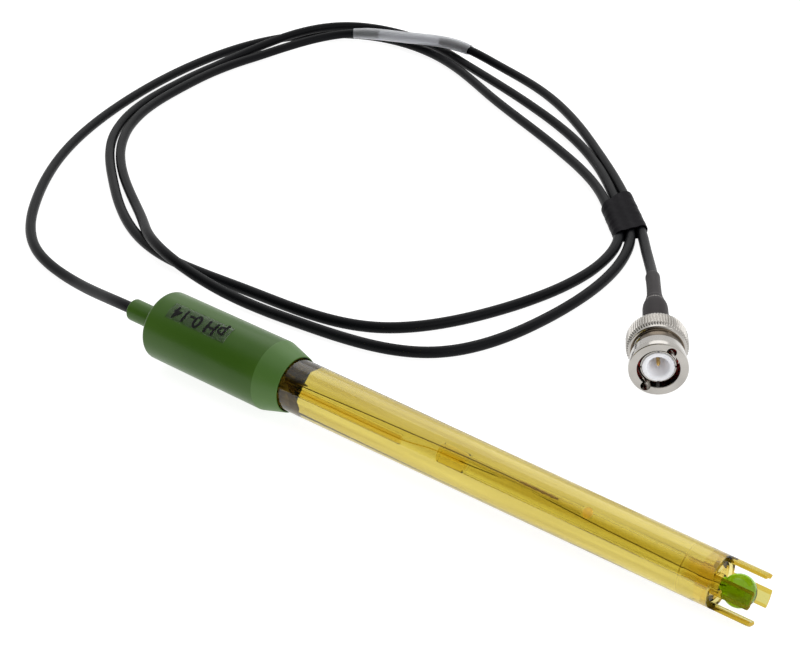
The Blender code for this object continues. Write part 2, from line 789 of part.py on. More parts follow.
def flatten(skin, path, flatness):
    """Squeezes a skin round a path: lower by its flatness, and wider by as much."""
    centres = [Vector(point) * MM for point in path]
    for vertex in skin.data.vertices:
        near = min(centres, key=lambda centre: (vertex.co - centre).length)
        vertex.co.z = near.z + (vertex.co.z - near.z) / flatness
        vertex.co.x = near.x + (vertex.co.x - near.x) * flatness
        vertex.co.y = near.y + (vertex.co.y - near.y) * flatness


def build_lead():
    """The lead, with the clear sleeve and the paper label that are on its last stretch."""
    chain = lead_chain()
    path_curve("lead", chain, LEAD_RADIUS, None, "black_jacket")
    sleeve = ("label_sleeve", "clear_sleeve", SLEEVE_RADIUS, SLEEVE_WALL, SLEEVE_FLATNESS)
    label = ("id_label", "white_label", LABEL_RADIUS, LABEL_WALL, 1.0)
    spans = ((SLEEVE_START, SLEEVE_FINISH), (LABEL_START, LABEL_FINISH))
    for (name, material, radius, wall, flatness), span in zip((sleeve, label), spans):
        path = stretch(chain, *span)
        skin = as_mesh(path_curve(name, path, radius, None, material, 2, caps=False))
        solidify = skin.modifiers.new("wall", "SOLIDIFY")
        solidify.thickness = wall * MM
        solidify.offset = -1.0
        flatten(skin, path, flatness)


def stadium(curve, half_width, half_height, steps=6):
    """Adds a flat loop with two round ends to a 2D curve."""
    points = []
    straight = half_width - half_height
    for side, start in ((1, -90.0), (-1, 90.0)):
        for step in range(steps + 1):
            angle = math.radians(start + 180.0 * step / steps)
            x = side * straight + half_height * math.cos(angle)
            points.append((x, half_height * math.sin(angle)))
    spline = curve.splines.new("POLY")
    spline.points.add(len(points) - 1)
    spline.use_cyclic_u = True
    for point, (x, y) in zip(spline.points, points):
        point.co = (x * MM, y * MM, 0.0, 1.0)


def build_tie():
    """The black wrap that holds the three strands side by side."""
    half_height = LEAD_RADIUS + TIE_CLEARANCE + TIE_WALL
    half_width = half_height + STRAND_PITCH
    curve = bpy.data.curves.new("cable_tie", "CURVE")
    curve.dimensions = "2D"
    curve.fill_mode = "BOTH"
    curve.extrude = TIE_LENGTH / 2 * MM
    stadium(curve, half_width, half_height)
    stadium(curve, half_width - TIE_WALL, half_height - TIE_WALL)
    tie = new_object("cable_tie", curve, None, "boot_rubber")
    angle = math.radians(TIE_HEADING)
    along = Vector((math.cos(angle), math.sin(angle), 0.0))
    up = Vector((0.0, 0.0, 1.0))
    place = Matrix((up.cross(along), up, -along)).transposed().to_4x4()
    place.translation = Vector((*TIE_MIDDLE, TIE_HEIGHT)) * MM
    tie.matrix_world = place


build_electrode()
build_plug()
build_lead()
build_tie()
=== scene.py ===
"""Looks of the combination pH electrode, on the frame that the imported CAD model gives.

Stations, radii and the lead's route are in millimetres in the model's own frame, and become
metres when the meshes are made: +X runs from the cap to the tip and +Z is up.
"""

import math

import bmesh
import bpy
import numpy as np
from mathutils import Matrix, Vector


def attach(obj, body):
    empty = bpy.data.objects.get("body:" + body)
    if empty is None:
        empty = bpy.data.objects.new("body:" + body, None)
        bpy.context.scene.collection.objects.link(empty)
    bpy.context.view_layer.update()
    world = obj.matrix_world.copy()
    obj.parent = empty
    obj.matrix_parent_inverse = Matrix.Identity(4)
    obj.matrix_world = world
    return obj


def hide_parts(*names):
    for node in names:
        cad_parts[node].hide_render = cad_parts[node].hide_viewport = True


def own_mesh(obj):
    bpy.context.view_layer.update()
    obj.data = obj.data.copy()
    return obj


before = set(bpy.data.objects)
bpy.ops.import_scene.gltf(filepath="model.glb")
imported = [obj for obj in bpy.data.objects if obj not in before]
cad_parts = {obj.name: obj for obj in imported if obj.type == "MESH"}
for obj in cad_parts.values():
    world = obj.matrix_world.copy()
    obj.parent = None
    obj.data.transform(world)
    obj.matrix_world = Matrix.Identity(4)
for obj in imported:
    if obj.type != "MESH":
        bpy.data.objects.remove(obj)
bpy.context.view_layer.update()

MM = 0.001

# Electrode, by stations along its axis from the mouth of the cap.
MOUTH_X = -31.1
TUBE_RADIUS = 6.0
TUBE_END_RADIUS = 5.37
TUBE_END = 104.5
PRONG_TIP = 112.7
PRONG_GAP = 4.5
PRONG_TURN = 14.1
WALL = 1.1
SHELL_START = -5.5
BORE_LIMIT = 5.2
CAP_RADIUS = 8.13
CAP_SHOULDER = -5.8
CAP_REAR = -39.2
NECK_RADIUS = 2.62
NECK_END = -49.8
CAP_MOUTH_RADIUS = 6.5
CAP_BORE_RADIUS = 6.22
NECK_BORE_RADIUS = 1.5
FILM_START = -34.2
FILM_LENGTH = 17.6
FILM_WIDTH = 4.3
FILM_HEIGHT = 0.06
FILM_ANGLE = 113.0
MARKING_PLACE = -25.4
MARKING_SIZE = 4.6
MARKING_DEPTH = 0.015
MARKING_BOLDNESS = 0.07
REFERENCE_OFFSET = 2.5
REFERENCE_ANGLE = 113.0
WIRE_SLEEVE_PLACE = (-0.51, -0.68)
WIRES_START = -2.4
ELEMENT_START = 60.0
ELEMENT_LENGTH = 9.0
BEAD_X = 75.8
BEAD_RADIUS = 1.0
BULB_X = 108.4
BULB_RADIUS = 3.25
TILT = math.asin((CAP_RADIUS - TUBE_END_RADIUS) / (PRONG_TIP - CAP_SHOULDER))
AXIS_HEIGHT = CAP_RADIUS * math.cos(TILT) + CAP_SHOULDER * math.sin(TILT)

# Lead and what is on it.
LEAD_RADIUS = 1.375
LEAD_HEIGHT = 1.4
LEAD_START = -34.8
SLEEVE_START = 1299.0
SLEEVE_FINISH = 1339.5
LABEL_START = 1308.0
LABEL_FINISH = 1328.5
SLEEVE_HALF_WIDTH = 2.3
SLEEVE_HALF_HEIGHT = 1.75
SLEEVE_WALL = 0.14
TIE_LENGTH = 20.5
TIE_MIDDLE = (-24.7, 123.6)
TIE_HEIGHT = 2.05
TIE_HEADING = -46.4
STRAND_PITCH = 2.95
TIE_HALF_HEIGHT = 1.93
TIE_DIP = 0.16
TIE_WALL = 0.22
CURVE_STEPS = 40

# Plug, by stations back from its front rim.
KNURL_RADIUS = 7.1
KNURL_END = 13.1
KNURL_RIBS = 66
KNURL_START = 8.7
KNURL_DEPTH = 0.33
BARREL_RADIUS = 6.68
BARREL_END = 4.6
WAIST_RADIUS = 5.95
WAIST_END = 7.7
SOCKET_RADIUS = 4.8
SLOT_RADIUS = 1.15
SLOT_DEPTH = 5.15
SLOT_TURN = 240.0
TOOL_SEGMENTS = 20
SPRING_WAVE = 0.4
PLUG_FACE = (26.85, 55.23)
PLUG_HEIGHT = 7.13
PLUG_HEADING = -57.5
FERRULE_END = 29.0
BOOT_END = 46.3
BOOT_BEND = 38.0
BOOT_DROOP = 0.0062
BOOT_WALL = 0.3
LEAD_END = FERRULE_END + 1.0

FIRST_TURN = [
    (-94.5, 3.3, 6.4),
    (-111.0, 8.7, 2.3),
    (-131.0, 14.5, 1.4),
    (-154.6, 34.7, 1.4),
    (-172.1, 61.4, 1.4),
    (-185.0, 100.0, 1.4),
    (-188.5, 138.0, 1.4),
    (-182.0, 165.5, 1.4),
    (-162.0, 184.2, 1.4),
    (-137.0, 185.6, 1.4),
    (-100.0, 168.6, 1.4),
    (-59.5, 147.6, 1.4),
]
SECOND_TURN = [
    (-15.0, 92.6, 1.4),
    (-20.3, 67.0, 1.4),
    (-39.6, 38.7, 1.4),
    (-75.7, 32.9, 1.4),
    (-108.7, 33.8, 1.4),
    (-148.2, 56.8, 1.4),
    (-168.4, 76.4, 1.4),
    (-177.6, 94.3, 1.4),
    (-181.4, 114.0, 1.4),
    (-182.4, 133.0, 1.4),
    (-180.9, 149.0, 2.4),
    (-176.2, 166.0, 4.2),
    (-166.0, 182.0, 4.4),
    (-147.0, 191.6, 1.9),
    (-122.5, 185.2, 1.4),
    (-83.5, 169.0, 1.4),
    (-50.0, 148.9, 1.4),
]
THIRD_TURN = [
    (-10.8, 98.3, 1.4),
    (-10.2, 69.5, 1.4),
    (-22.4, 37.8, 1.4),
    (-54.3, 28.9, 1.4),
    (-81.7, 27.8, 2.4),
    (-96.7, 29.0, 4.4),
    (-110.3, 34.1, 4.5),
    (-121.6, 42.2, 2.7),
    (-146.4, 59.4, 1.4),
    (-165.8, 78.2, 1.4),
    (-174.7, 95.3, 1.4),
    (-178.4, 114.4, 1.4),
    (-179.4, 133.0, 1.4),
    (-177.0, 150.0, 1.5),
    (-161.5, 177.4, 4.3),
    (-143.5, 184.0, 5.1),
    (-127.5, 188.2, 5.2),
    (-112.0, 188.6, 2.4),
    (-94.0, 183.4, 1.4),
    (-53.0, 155.3, 1.4),
]
LAST_STRETCH = [(-9.0, 109.6, 2.7)]

# Camera, at the photograph's angle.
CAMERA_ELEVATION = 30.452
CAMERA_AZIMUTH = 38.163
CAMERA_DISTANCE = 415.12
CAMERA_TARGET = (-37.42, 44.56, 0.0)
CAMERA_LENS = 78.31
CAMERA_SENSOR = 36.0

# The light tent: the direction of its dark opening, the cosines between which the white fades
# to dark, and the dark colour.
OPENING = (-0.22, -0.95, 0.22)
OPENING_EDGE = (0.50, 0.76)
OPENING_COLOR = (0.05, 0.042, 0.03)
FLOOR_GREY = 0.35
FLOOR_GLOW = 0.9
FLOOR_SIZE = 6.0
FLOOR_HEIGHT = -0.0005

# The two lights: place and target in metres, size in metres and power in watts.
KEY_LIGHT = ((-0.45, 0.75, 0.9), (-0.04, 0.05, 0.0), 0.9, 3.0)
FILL_LIGHT = ((0.9, -0.1, 0.8), (0.0, 0.05, 0.0), 0.25, 0.8)


# ---------------------------------------------------------------- places and meshes

PROBE = Matrix.Translation(Vector((MOUTH_X, 0.0, AXIS_HEIGHT)) * MM) @ Matrix.Rotation(TILT, 4, "Y")
PLUG = Matrix.Translation(Vector((*PLUG_FACE, PLUG_HEIGHT)) * MM) @ Matrix.Rotation(
    math.radians(PLUG_HEADING), 4, "Z"
)


def axis_point(station):
    """A point on the electrode's axis."""
    x = MOUTH_X + station * math.cos(TILT)
    return (x, 0.0, AXIS_HEIGHT - station * math.sin(TILT))


def plug_point(station):
    """A point on the plug's centre line, which droops behind the crimp."""
    heading = math.radians(PLUG_HEADING)
    droop = BOOT_DROOP * max(0.0, station - FERRULE_END) ** 2
    x = PLUG_FACE[0] - station * math.cos(heading)
    y = PLUG_FACE[1] - station * math.sin(heading)
    return (x, y, PLUG_HEIGHT - droop)


def tube_radius(station):
    """The outer radius of the tapered tube."""
    share = max(0.0, station) / TUBE_END
    return TUBE_RADIUS + (TUBE_END_RADIUS - TUBE_RADIUS) * share


def arc(centre_x, centre_r, radius, start, end, steps):
    """Points of an arc in the (x, r) plane, angles in degrees from +x towards +r."""
    points = []
    for step in range(steps + 1):
        angle = math.radians(start + (end - start) * step / steps)
        points.append((centre_x + radius * math.cos(angle), centre_r + radius * math.sin(angle)))
    return points


def rounded(corners, steps):
    """A closed outline with its corners rounded. A corner is (x, r) or (x, r, fillet)."""
    outline = []
    count = len(corners)
    for i, corner in enumerate(corners):
        point = Vector(corner[:2])
        fillet = corner[2] if len(corner) > 2 else 0.0
        before = Vector(corners[i - 1][:2]) - point
        after = Vector(corners[(i + 1) % count][:2]) - point
        reach = min(fillet, 0.45 * before.length, 0.45 * after.length)
        if reach < 1e-6:
            outline.append(tuple(point))
            continue
        start = point + before.normalized() * reach
        end = point + after.normalized() * reach
        for step in range(steps + 1):
            t = step / steps
            place = start * (1 - t) ** 2 + point * 2 * t * (1 - t) + end * t * t
            outline.append(tuple(place))
    return outline


def new_object(name, mesh, place, materials, body):
    """Links a mesh at its place, gives it its materials and rides it on its body."""
    obj = bpy.data.objects.new(name, mesh)
    bpy.context.scene.collection.objects.link(obj)
    obj.matrix_world = place
    for material in materials:
        mesh.materials.append(material)
    bpy.context.view_layer.update()
    if body:
        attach(obj, body)
    return obj


def finished(shape, name, sharp=32.0):
    """The mesh of a bmesh, closed, facing out and smooth except at its sharp edges."""
    bmesh.ops.recalc_face_normals(shape, faces=shape.faces)
    mesh = bpy.data.meshes.new(name)
    shape.to_mesh(mesh)
    shape.free()
    for polygon in mesh.polygons:
        polygon.use_smooth = True
    mesh.set_sharp_from_angle(angle=math.radians(sharp))
    return mesh


def lathe_mesh(name, outline, segments, closed=True, form=None, inner=None, sharp=32.0):
    """A turned body about +X. form moves a point by its angle, and inner names faces of slot 1."""
    shape = bmesh.new()
    rings = []
    for x, r in outline:
        ring = []
        for k in range(segments if r > 1e-6 else 1):
            angle = math.tau * k / segments
            px, pr = form(x, r, angle) if form else (x, r)
            place = Vector((px, pr * math.cos(angle), pr * math.sin(angle)))
            ring.append(shape.verts.new(place * MM))
        rings.append(ring)
    pairs = list(zip(rings, rings[1:], outline, outline[1:]))
    if closed:
        pairs.append((rings[-1], rings[0], outline[-1], outline[0]))
    for first, second, start, end in pairs:
        for k in range(segments):
            corners = [first[k % len(first)], first[(k + 1) % len(first)]]
            corners += [second[(k + 1) % len(second)], second[k % len(second)]]
            corners = list(dict.fromkeys(corners))
            if len(corners) < 3:
                continue
            face = shape.faces.new(corners)
            if inner and inner(start, end):
                face.material_index = 1
    return finished(shape, name, sharp)


def lathe(name, outline, place, materials, body, segments, **details):
    """A turned piece in place."""
    return new_object(name, lathe_mesh(name, outline, segments, **details), place, materials, body)


def cut_with(obj, tools, sharp=32.0):
    """Takes the tools' shapes out of the object and removes them."""
    for tool in tools:
        boolean = obj.modifiers.new("cut", "BOOLEAN")
        boolean.operation = "DIFFERENCE"
        boolean.solver = "EXACT"
        boolean.object = tool
    bpy.context.view_layer.update()
    graph = bpy.context.evaluated_depsgraph_get()
    mesh = bpy.data.meshes.new_from_object(obj.evaluated_get(graph))
    obj.modifiers.clear()
    obj.data = mesh
    for tool in tools:
        bpy.data.objects.remove(tool, do_unlink=True)
    for polygon in mesh.polygons:
        polygon.use_smooth = True
    mesh.set_sharp_from_angle(angle=math.radians(sharp))


def box_tool(low, high, place, turn):
    """A box between two corners, turned about its place's X axis, for cutting."""
    shape = bmesh.new()
    bmesh.ops.create_cube(shape, size=1.0)
    size = Vector(high) - Vector(low)
    middle = (Vector(high) + Vector(low)) / 2
    for vertex in shape.verts:
        vertex.co = Vector(c * s + m for c, s, m in zip(vertex.co, size, middle)) * MM
    turned = place @ Matrix.Rotation(math.radians(turn), 4, "X")
    return new_object("tool", finished(shape, "tool"), turned, [], None)


def frames_along(points):
    """Each point with two unit vectors across the path there: sideways and upwards."""
    points = [Vector(p) for p in points]
    found = []
    for i, point in enumerate(points):
        along = points[min(i + 1, len(points) - 1)] - points[max(i - 1, 0)]
        side = Vector((0.0, 0.0, 1.0)).cross(along).normalized()
        found.append((point, side, along.cross(side).normalized()))
    return found


def sleeve_mesh(name, points, outer, inner, sharp=32.0):
    """A tube along a path, from one outer and one inner cross-section for each point."""
    shape = bmesh.new()
    places = frames_along(points)
    walls = list(zip(places, outer)) + list(zip(places, inner))[::-1]
    rings = []
    for (point, side, up), section in walls:
        rings.append([shape.verts.new((point + side * a + up * b) * MM) for a, b in section])
    count = len(rings[0])
    for i, first in enumerate(rings):
        second = rings[(i + 1) % len(rings)]
        for k in range(count):
            shape.faces.new((first[k], first[(k + 1) % count], second[(k + 1) % count], second[k]))
    return finished(shape, name, sharp)


def shrunk(section, wall):
    """A cross-section moved inwards by the wall's thickness."""
    points = [Vector(p) for p in section]
    moved = []
    for i, point in enumerate(points):
        along = points[(i + 1) % len(points)] - points[i - 1]
        inwards = Vector((-along.y, along.x)).normalized()
        moved.append(tuple(point + inwards * wall))
    return moved


def dress(material, *nodes):
    """Gives the CAD nodes that stay visible, or hidden inside, a finished material."""
    for name in nodes:
        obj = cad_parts[name]
        for slot in obj.material_slots:
            slot.material = material


def oval(half_width, half_height, count=32):
    """A round or flattened cross-section."""
    section = []
    for k in range(count):
        angle = math.tau * k / count
        section.append((half_width * math.cos(angle), half_height * math.sin(angle)))
    return section


# ---------------------------------------------------------------- the lead's route


def spline_slopes(points, spans):
    """The slope at each point of the smooth curve through all of them, free at both ends."""
    count = len(points)
    matrix = np.zeros((count, count))
    right = np.zeros((count, 3))
    chords = np.diff(points, axis=0) / spans[:, None]
    matrix[0, :2] = (2.0, 1.0)
    matrix[-1, -2:] = (1.0, 2.0)
    right[0] = 3.0 * chords[0]
    right[-1] = 3.0 * chords[-1]
    for i in range(1, count - 1):
        matrix[i, i - 1 : i + 2] = (spans[i], 2.0 * (spans[i - 1] + spans[i]), spans[i - 1])
        right[i] = 3.0 * (spans[i] * chords[i - 1] + spans[i - 1] * chords[i])
    return np.linalg.solve(matrix, right)


def smooth_curve(points, steps):
    """Many points of the smooth curve through the given ones, none lower than the table allows."""
    points = np.array(points, float)
    spans = np.linalg.norm(np.diff(points, axis=0), axis=1)
    slopes = spline_slopes(points, spans)
    fine = []
    for i, span in enumerate(spans):
        for t in np.arange(steps) / steps:
            place = (1 + 2 * t) * (1 - t) ** 2 * points[i] + t * t * (3 - 2 * t) * points[i + 1]
            lean = t * (1 - t) ** 2 * slopes[i] - t * t * (1 - t) * slopes[i + 1]
            fine.append(place + span * lean)
    fine.append(points[-1])
    fine = np.array(fine)
    fine[:, 2] = np.maximum(fine[:, 2], LEAD_HEIGHT)
    return fine


def tie_point(lane, along):
    """A point inside the tie: in one of its lanes, from -1 inside to 1 outside, and along it."""
    angle = math.radians(TIE_HEADING)
    side = -lane * STRAND_PITCH
    x = TIE_MIDDLE[0] + along * math.cos(angle) + side * math.sin(angle)
    y = TIE_MIDDLE[1] + along * math.sin(angle) - side * math.cos(angle)
    return (x, y, TIE_HEIGHT)


def lead_route():
    """The lead's whole route, from inside the cap's neck to inside the boot."""
    route = [axis_point(LEAD_START), axis_point(NECK_END - 1.0)] + FIRST_TURN
    for lane, after in ((-1, SECOND_TURN), (0, THIRD_TURN), (1, LAST_STRETCH)):
        route += [tie_point(lane, along) for along in (-9.5, 0.0, 9.5)] + after
    return route + [plug_point(s) for s in (BOOT_END, BOOT_BEND, LEAD_END)]


def spaced(fine, step):
    """Points of a curve, evenly spaced by about the given step, and its length."""
    runs = np.concatenate([[0.0], np.cumsum(np.linalg.norm(np.diff(fine, axis=0), axis=1))])
    places = np.linspace(0.0, runs[-1], int(runs[-1] / step) + 1)
    even = np.array([np.interp(places, runs, fine[:, axis]) for axis in range(3)]).T
    return even, float(runs[-1])


LEAD_PATH, LEAD_LENGTH = spaced(smooth_curve(lead_route(), CURVE_STEPS), 1.5)


def lead_stretch(start, end):
    """The route's points between two lengths along it."""
    count = len(LEAD_PATH) - 1
    first = round(start / LEAD_LENGTH * count)
    last = round(end / LEAD_LENGTH * count)
    return LEAD_PATH[first : last + 1]


# ---------------------------------------------------------------- materials


class Nodes:
    """A material's nodes, with short ways to add the ones used here."""

    def __init__(self, name):
        self.material = bpy.data.materials.new(name)
        self.material.use_nodes = True
        self.tree = self.material.node_tree
        self.shader = self.tree.nodes["Principled BSDF"]
        self.place = self.tree.nodes.new("ShaderNodeTexCoord").outputs["Object"]

    def set(self, **values):
        """Sets the shader's sockets that are the same all over."""
        for key, value in values.items():
            self.shader.inputs[key.replace("_", " ")].default_value = value
        return self

    def noise(self, scale, detail=3.0, roughness=0.5, stretch=(1.0, 1.0, 1.0)):
        """A noise field in object space, with scale in features a metre."""
        mapping = self.tree.nodes.new("ShaderNodeMapping")
        mapping.inputs["Scale"].default_value = stretch
        self.tree.links.new(self.place, mapping.inputs["Vector"])
        noise = self.tree.nodes.new("ShaderNodeTexNoise")
        noise.inputs["Scale"].default_value = scale
        noise.inputs["Detail"].default_value = detail
        noise.inputs["Roughness"].default_value = roughness
        self.tree.links.new(mapping.outputs["Vector"], noise.inputs["Vector"])
        return noise.outputs["Fac"]

    def ramp(self, source, low, high, start=0.35, end=0.65):
        """A colour that runs from low to high as the source runs from start to end."""
        ramp = self.tree.nodes.new("ShaderNodeValToRGB")
        ramp.color_ramp.elements[0].position = start
        ramp.color_ramp.elements[0].color = (*low, 1.0)
        ramp.color_ramp.elements[1].position = end
        ramp.color_ramp.elements[1].color = (*high, 1.0)
        self.tree.links.new(source, ramp.inputs["Fac"])
        return ramp.outputs["Color"]

    def spread(self, source, low, high):
        """A value that runs from low to high as the source runs from 0.3 to 0.7."""
        scale = self.tree.nodes.new("ShaderNodeMapRange")
        scale.inputs["From Min"].default_value = 0.3
        scale.inputs["From Max"].default_value = 0.7
        scale.inputs["To Min"].default_value = low
        scale.inputs["To Max"].default_value = high
        self.tree.links.new(source, scale.inputs["Value"])
        return scale.outputs["Result"]

    def join(self, source, socket):
        self.tree.links.new(source, self.shader.inputs[socket])
        return self

    def bump(self, source, depth):
        """Bumps of the given depth in millimetres."""
        bump = self.tree.nodes.new("ShaderNodeBump")
        bump.inputs["Distance"].default_value = depth * MM
        bump.inputs["Strength"].default_value = 1.0
        self.tree.links.new(source, bump.inputs["Height"])
        self.tree.links.new(bump.outputs["Normal"], self.shader.inputs["Normal"])
        return self


def plastic(name, low, high, roughness, grain, depth, **values):
    """Moulded plastic or rubber: a slightly uneven colour and gloss over a fine grain."""
    nodes = Nodes(name)
    nodes.join(nodes.ramp(nodes.noise(60.0), low, high), "Base Color")
    gloss = nodes.spread(nodes.noise(90.0, 1.0), roughness - 0.02, roughness + 0.03)
    nodes.join(gloss, "Roughness")
    nodes.bump(nodes.noise(grain, 4.0), depth)
    return nodes.set(**values).material


def metal(name, low, high, roughness):
    """Plated metal: a bright, slightly uneven mirror with fine turning marks."""
    nodes = Nodes(name)
    nodes.join(nodes.ramp(nodes.noise(140.0), low, high), "Base Color")
    marks = nodes.noise(2500.0, 3.0, 0.6)
    nodes.join(nodes.spread(marks, roughness - 0.04, roughness + 0.06), "Roughness")
    nodes.bump(marks, 0.002)
    return nodes.set(Metallic=1.0).material


def clear(name, color, ior, roughness=0.02, waves=0.0, streaks=None, **values):
    """Clear plastic or glass, with the slow waves and the flow streaks of a moulded wall."""
    nodes = Nodes(name)
    nodes.set(Base_Color=(*color, 1.0), Transmission_Weight=1.0, IOR=ior, Roughness=roughness)
    if streaks:
        flow = nodes.noise(420.0, 2.0, 0.5, (0.03, 1.0, 1.0))
        nodes.join(nodes.ramp(flow, color, streaks, 0.38, 0.62), "Base Color")
    if waves:
        nodes.bump(nodes.noise(70.0, 2.0, 0.5, (0.25, 1.0, 1.0)), waves)
    return nodes.set(**values).material


GREEN = plastic("cap_green", (0.040, 0.104, 0.009), (0.050, 0.120, 0.013), 0.30, 1500.0, 0.006,
                Specular_IOR_Level=0.19)
# The cone's green is lighter than the body's: painted sheen, over a rougher turned finish.
GREEN_CONE_PAINTED_SHEEN = plastic("cap_green_turned_painted_sheen", (0.062, 0.148, 0.024), (0.074, 0.166, 0.030), 0.42,
                     1500.0, 0.008, Specular_IOR_Level=0.34)
PRINT = plastic("print_black", (0.004, 0.005, 0.004), (0.008, 0.008, 0.008), 0.6, 1500.0, 0.004,
                Specular_IOR_Level=0.15)
FILM = clear("label_film", (0.80, 0.84, 0.78), 1.25, 0.15)
JACKET = plastic("lead_jacket", (0.0030, 0.0032, 0.0040), (0.0050, 0.0054, 0.0066), 0.38,
                 1200.0, 0.015, Specular_IOR_Level=0.08)
SHRINK = plastic("boot_black", (0.014, 0.010, 0.011), (0.022, 0.017, 0.018), 0.50, 800.0, 0.02,
                 Specular_IOR_Level=0.16)
WRAP = plastic("wrap_black", (0.004, 0.0034, 0.005), (0.007, 0.006, 0.008), 0.36, 700.0, 0.03,
               Specular_IOR_Level=0.02)
AMBER_OUT = clear("amber_outside", (0.53, 0.43, 0.10), 1.50, 0.03, 0.02, (0.84, 0.77, 0.34))
AMBER_EDGE = clear("amber_cut_edges", (0.60, 0.41, 0.04), 1.06, 0.25, Transmission_Weight=0.78)
AMBER_PRONG = clear("amber_prongs", (0.58, 0.53, 0.17), 1.14, 0.03)
AMBER_IN = clear("amber_inside", (0.75, 0.67, 0.28), 1.17, 0.03)
AMBER_PLUG = clear("amber_plug", (0.92, 0.78, 0.42), 1.12, 0.06)
PLUG_SIDE = clear("amber_plug_side", (0.995, 0.985, 0.94), 1.02, 0.02)
STEM_GLASS = clear("stem_glass", (0.98, 0.97, 0.80), 1.16, 0.0)
BULB_GLASS = clear("bulb_glass", (0.27, 0.54, 0.008), 1.33, 0.02)
NICKEL = metal("nickel", (0.39, 0.373, 0.347), (0.46, 0.44, 0.41), 0.16)
# Darker nickel for the coupling's waist: painted shade in the recess between barrel and grip.
NICKEL_PAINTED_SHADE = metal("nickel_painted_shade", (0.10, 0.078, 0.055), (0.18, 0.145, 0.105), 0.16)
GOLD = metal("gold", (0.52, 0.33, 0.10), (0.62, 0.42, 0.15), 0.25)
# The white's faint bluish emission is a painted glow.
WHITE_PAINTED_GLOW = plastic("insulator_white_painted_glow", (0.90, 0.91, 0.96), (0.95, 0.96, 1.0), 0.35, 1000.0, 0.004,
                Emission_Color=(0.9, 0.9, 1.0, 1.0), Emission_Strength=0.03)
RED = plastic("gasket_red", (0.62, 0.018, 0.012), (0.75, 0.035, 0.02), 0.30, 900.0, 0.01)
PAPER = plastic("label_paper", (0.74, 0.74, 0.75), (0.86, 0.86, 0.87), 0.55, 900.0, 0.01)
SLEEVE_FILM = clear("sleeve_film", (0.80, 0.81, 0.84), 1.40, 0.28, 0.03, Transmission_Weight=0.88)
POTTING = plastic("potting", (0.075, 0.058, 0.018), (0.32, 0.25, 0.09), 0.6, 500.0, 0.08)
INSULATION = clear("wire_insulation", (0.80, 0.66, 0.25), 1.10, 0.3)
WIRE = metal("coated_wire", (0.10, 0.06, 0.02), (0.22, 0.14, 0.05), 0.45)
BLOCK = clear("stem_block_glass", (0.96, 0.87, 0.48), 1.13, 0.1)
SLEEVING = clear("wire_sleeving_film", (0.96, 0.88, 0.62), 1.08, 0.08)
THIN_GLASS = clear("reference_thin_glass", (0.97, 0.95, 0.80), 1.08, 0.0)
# Its emission is a painted glow that lightens the shade inside the tube.
COATING_PAINTED_GLOW = plastic("coated_element_painted_glow", (0.55, 0.36, 0.10), (0.75, 0.54, 0.20), 0.6, 900.0, 0.02,
                  Emission_Color=(0.8, 0.5, 0.15, 1.0), Emission_Strength=0.06)
# Its emission is a painted glow.
FELT_PAINTED_GLOW = plastic("junction_felt", (0.80, 0.66, 0.28), (0.90, 0.78, 0.40), 0.8, 1500.0, 0.03,
               Emission_Color=(0.8, 0.7, 0.3, 1.0), Emission_Strength=0.25)
# Its emission is a painted glow.
BEAD_PAINTED_GLOW = clear("inner_bead_amber_painted_glow", (0.97, 0.76, 0.26), 1.12, 0.35, Transmission_Weight=0.6,
             Emission_Color=(1.0, 0.78, 0.30, 1.0), Emission_Strength=0.2)


# ---------------------------------------------------------------- the electrode


def on_cone(start, end):
    """True for the outline's run down the cap's front cone, which takes the painted sheen."""
    forward = CAP_SHOULDER - 0.1 < start[0] < end[0]
    return forward and start[1] > end[1] > CAP_MOUTH_RADIUS - 0.1


def build_cap():
    """The green cap, its cone turned to a rougher finish and given a lighter colour as painted
    sheen, with the printed film on it.
    """
    outline = rounded(
        [
            (NECK_END, NECK_BORE_RADIUS),
            (NECK_END, NECK_RADIUS, 1.1),
            (CAP_REAR, NECK_RADIUS, 0.35),
            (CAP_REAR, CAP_RADIUS, 1.0),
            (CAP_SHOULDER, CAP_RADIUS, 0.3),
            (0.0, CAP_MOUTH_RADIUS, 0.12),
            (0.0, CAP_BORE_RADIUS, 0.08),
            (-6.0, CAP_BORE_RADIUS),
            (-6.0, NECK_BORE_RADIUS),
        ],
        8,
    )
    # Slot 1, the cone, takes the lighter green, which is painted sheen.
    materials = [GREEN, GREEN_CONE_PAINTED_SHEEN]
    cap = lathe("cap_shell", outline, PROBE, materials, "electrode", 128, inner=on_cone, sharp=25.0)
    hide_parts("cap")
    build_film()
    build_marking()


def bent_onto_cap(mesh, radius):
    """Bends a flat mesh onto the cap: its x along the electrode, its y round it, its z outwards."""
    for vertex in mesh.vertices:
        x, y, z = vertex.co / MM
        angle = math.radians(FILM_ANGLE) - y / CAP_RADIUS
        r = radius + z
        vertex.co = Vector((x, r * math.cos(angle), r * math.sin(angle))) * MM


def build_film():
    """The clear film stuck on the cap."""
    shape = bmesh.new()
    columns = 12
    rows = 10
    grid = []
    for j in range(rows + 1):
        for i in range(columns + 1):
            x = FILM_START + FILM_LENGTH * i / columns
            y = -FILM_WIDTH / 2 + FILM_WIDTH * j / rows
            grid.append(shape.verts.new(Vector((x, y, 0.0)) * MM))
    for j in range(rows):
        for i in range(columns):
            k = j * (columns + 1) + i
            above = k + columns + 1
            shape.faces.new([grid[k], grid[k + 1], grid[above + 1], grid[above]])
    made = bmesh.ops.extrude_face_region(shape, geom=shape.faces[:])
    for vertex in [v for v in made["geom"] if isinstance(v, bmesh.types.BMVert)]:
        vertex.co.z += FILM_HEIGHT * MM
    mesh = finished(shape, "label_film")
    bent_onto_cap(mesh, CAP_RADIUS + 0.05)
    film = new_object("label_film", mesh, PROBE, [FILM], "electrode")
    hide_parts("cap_label")


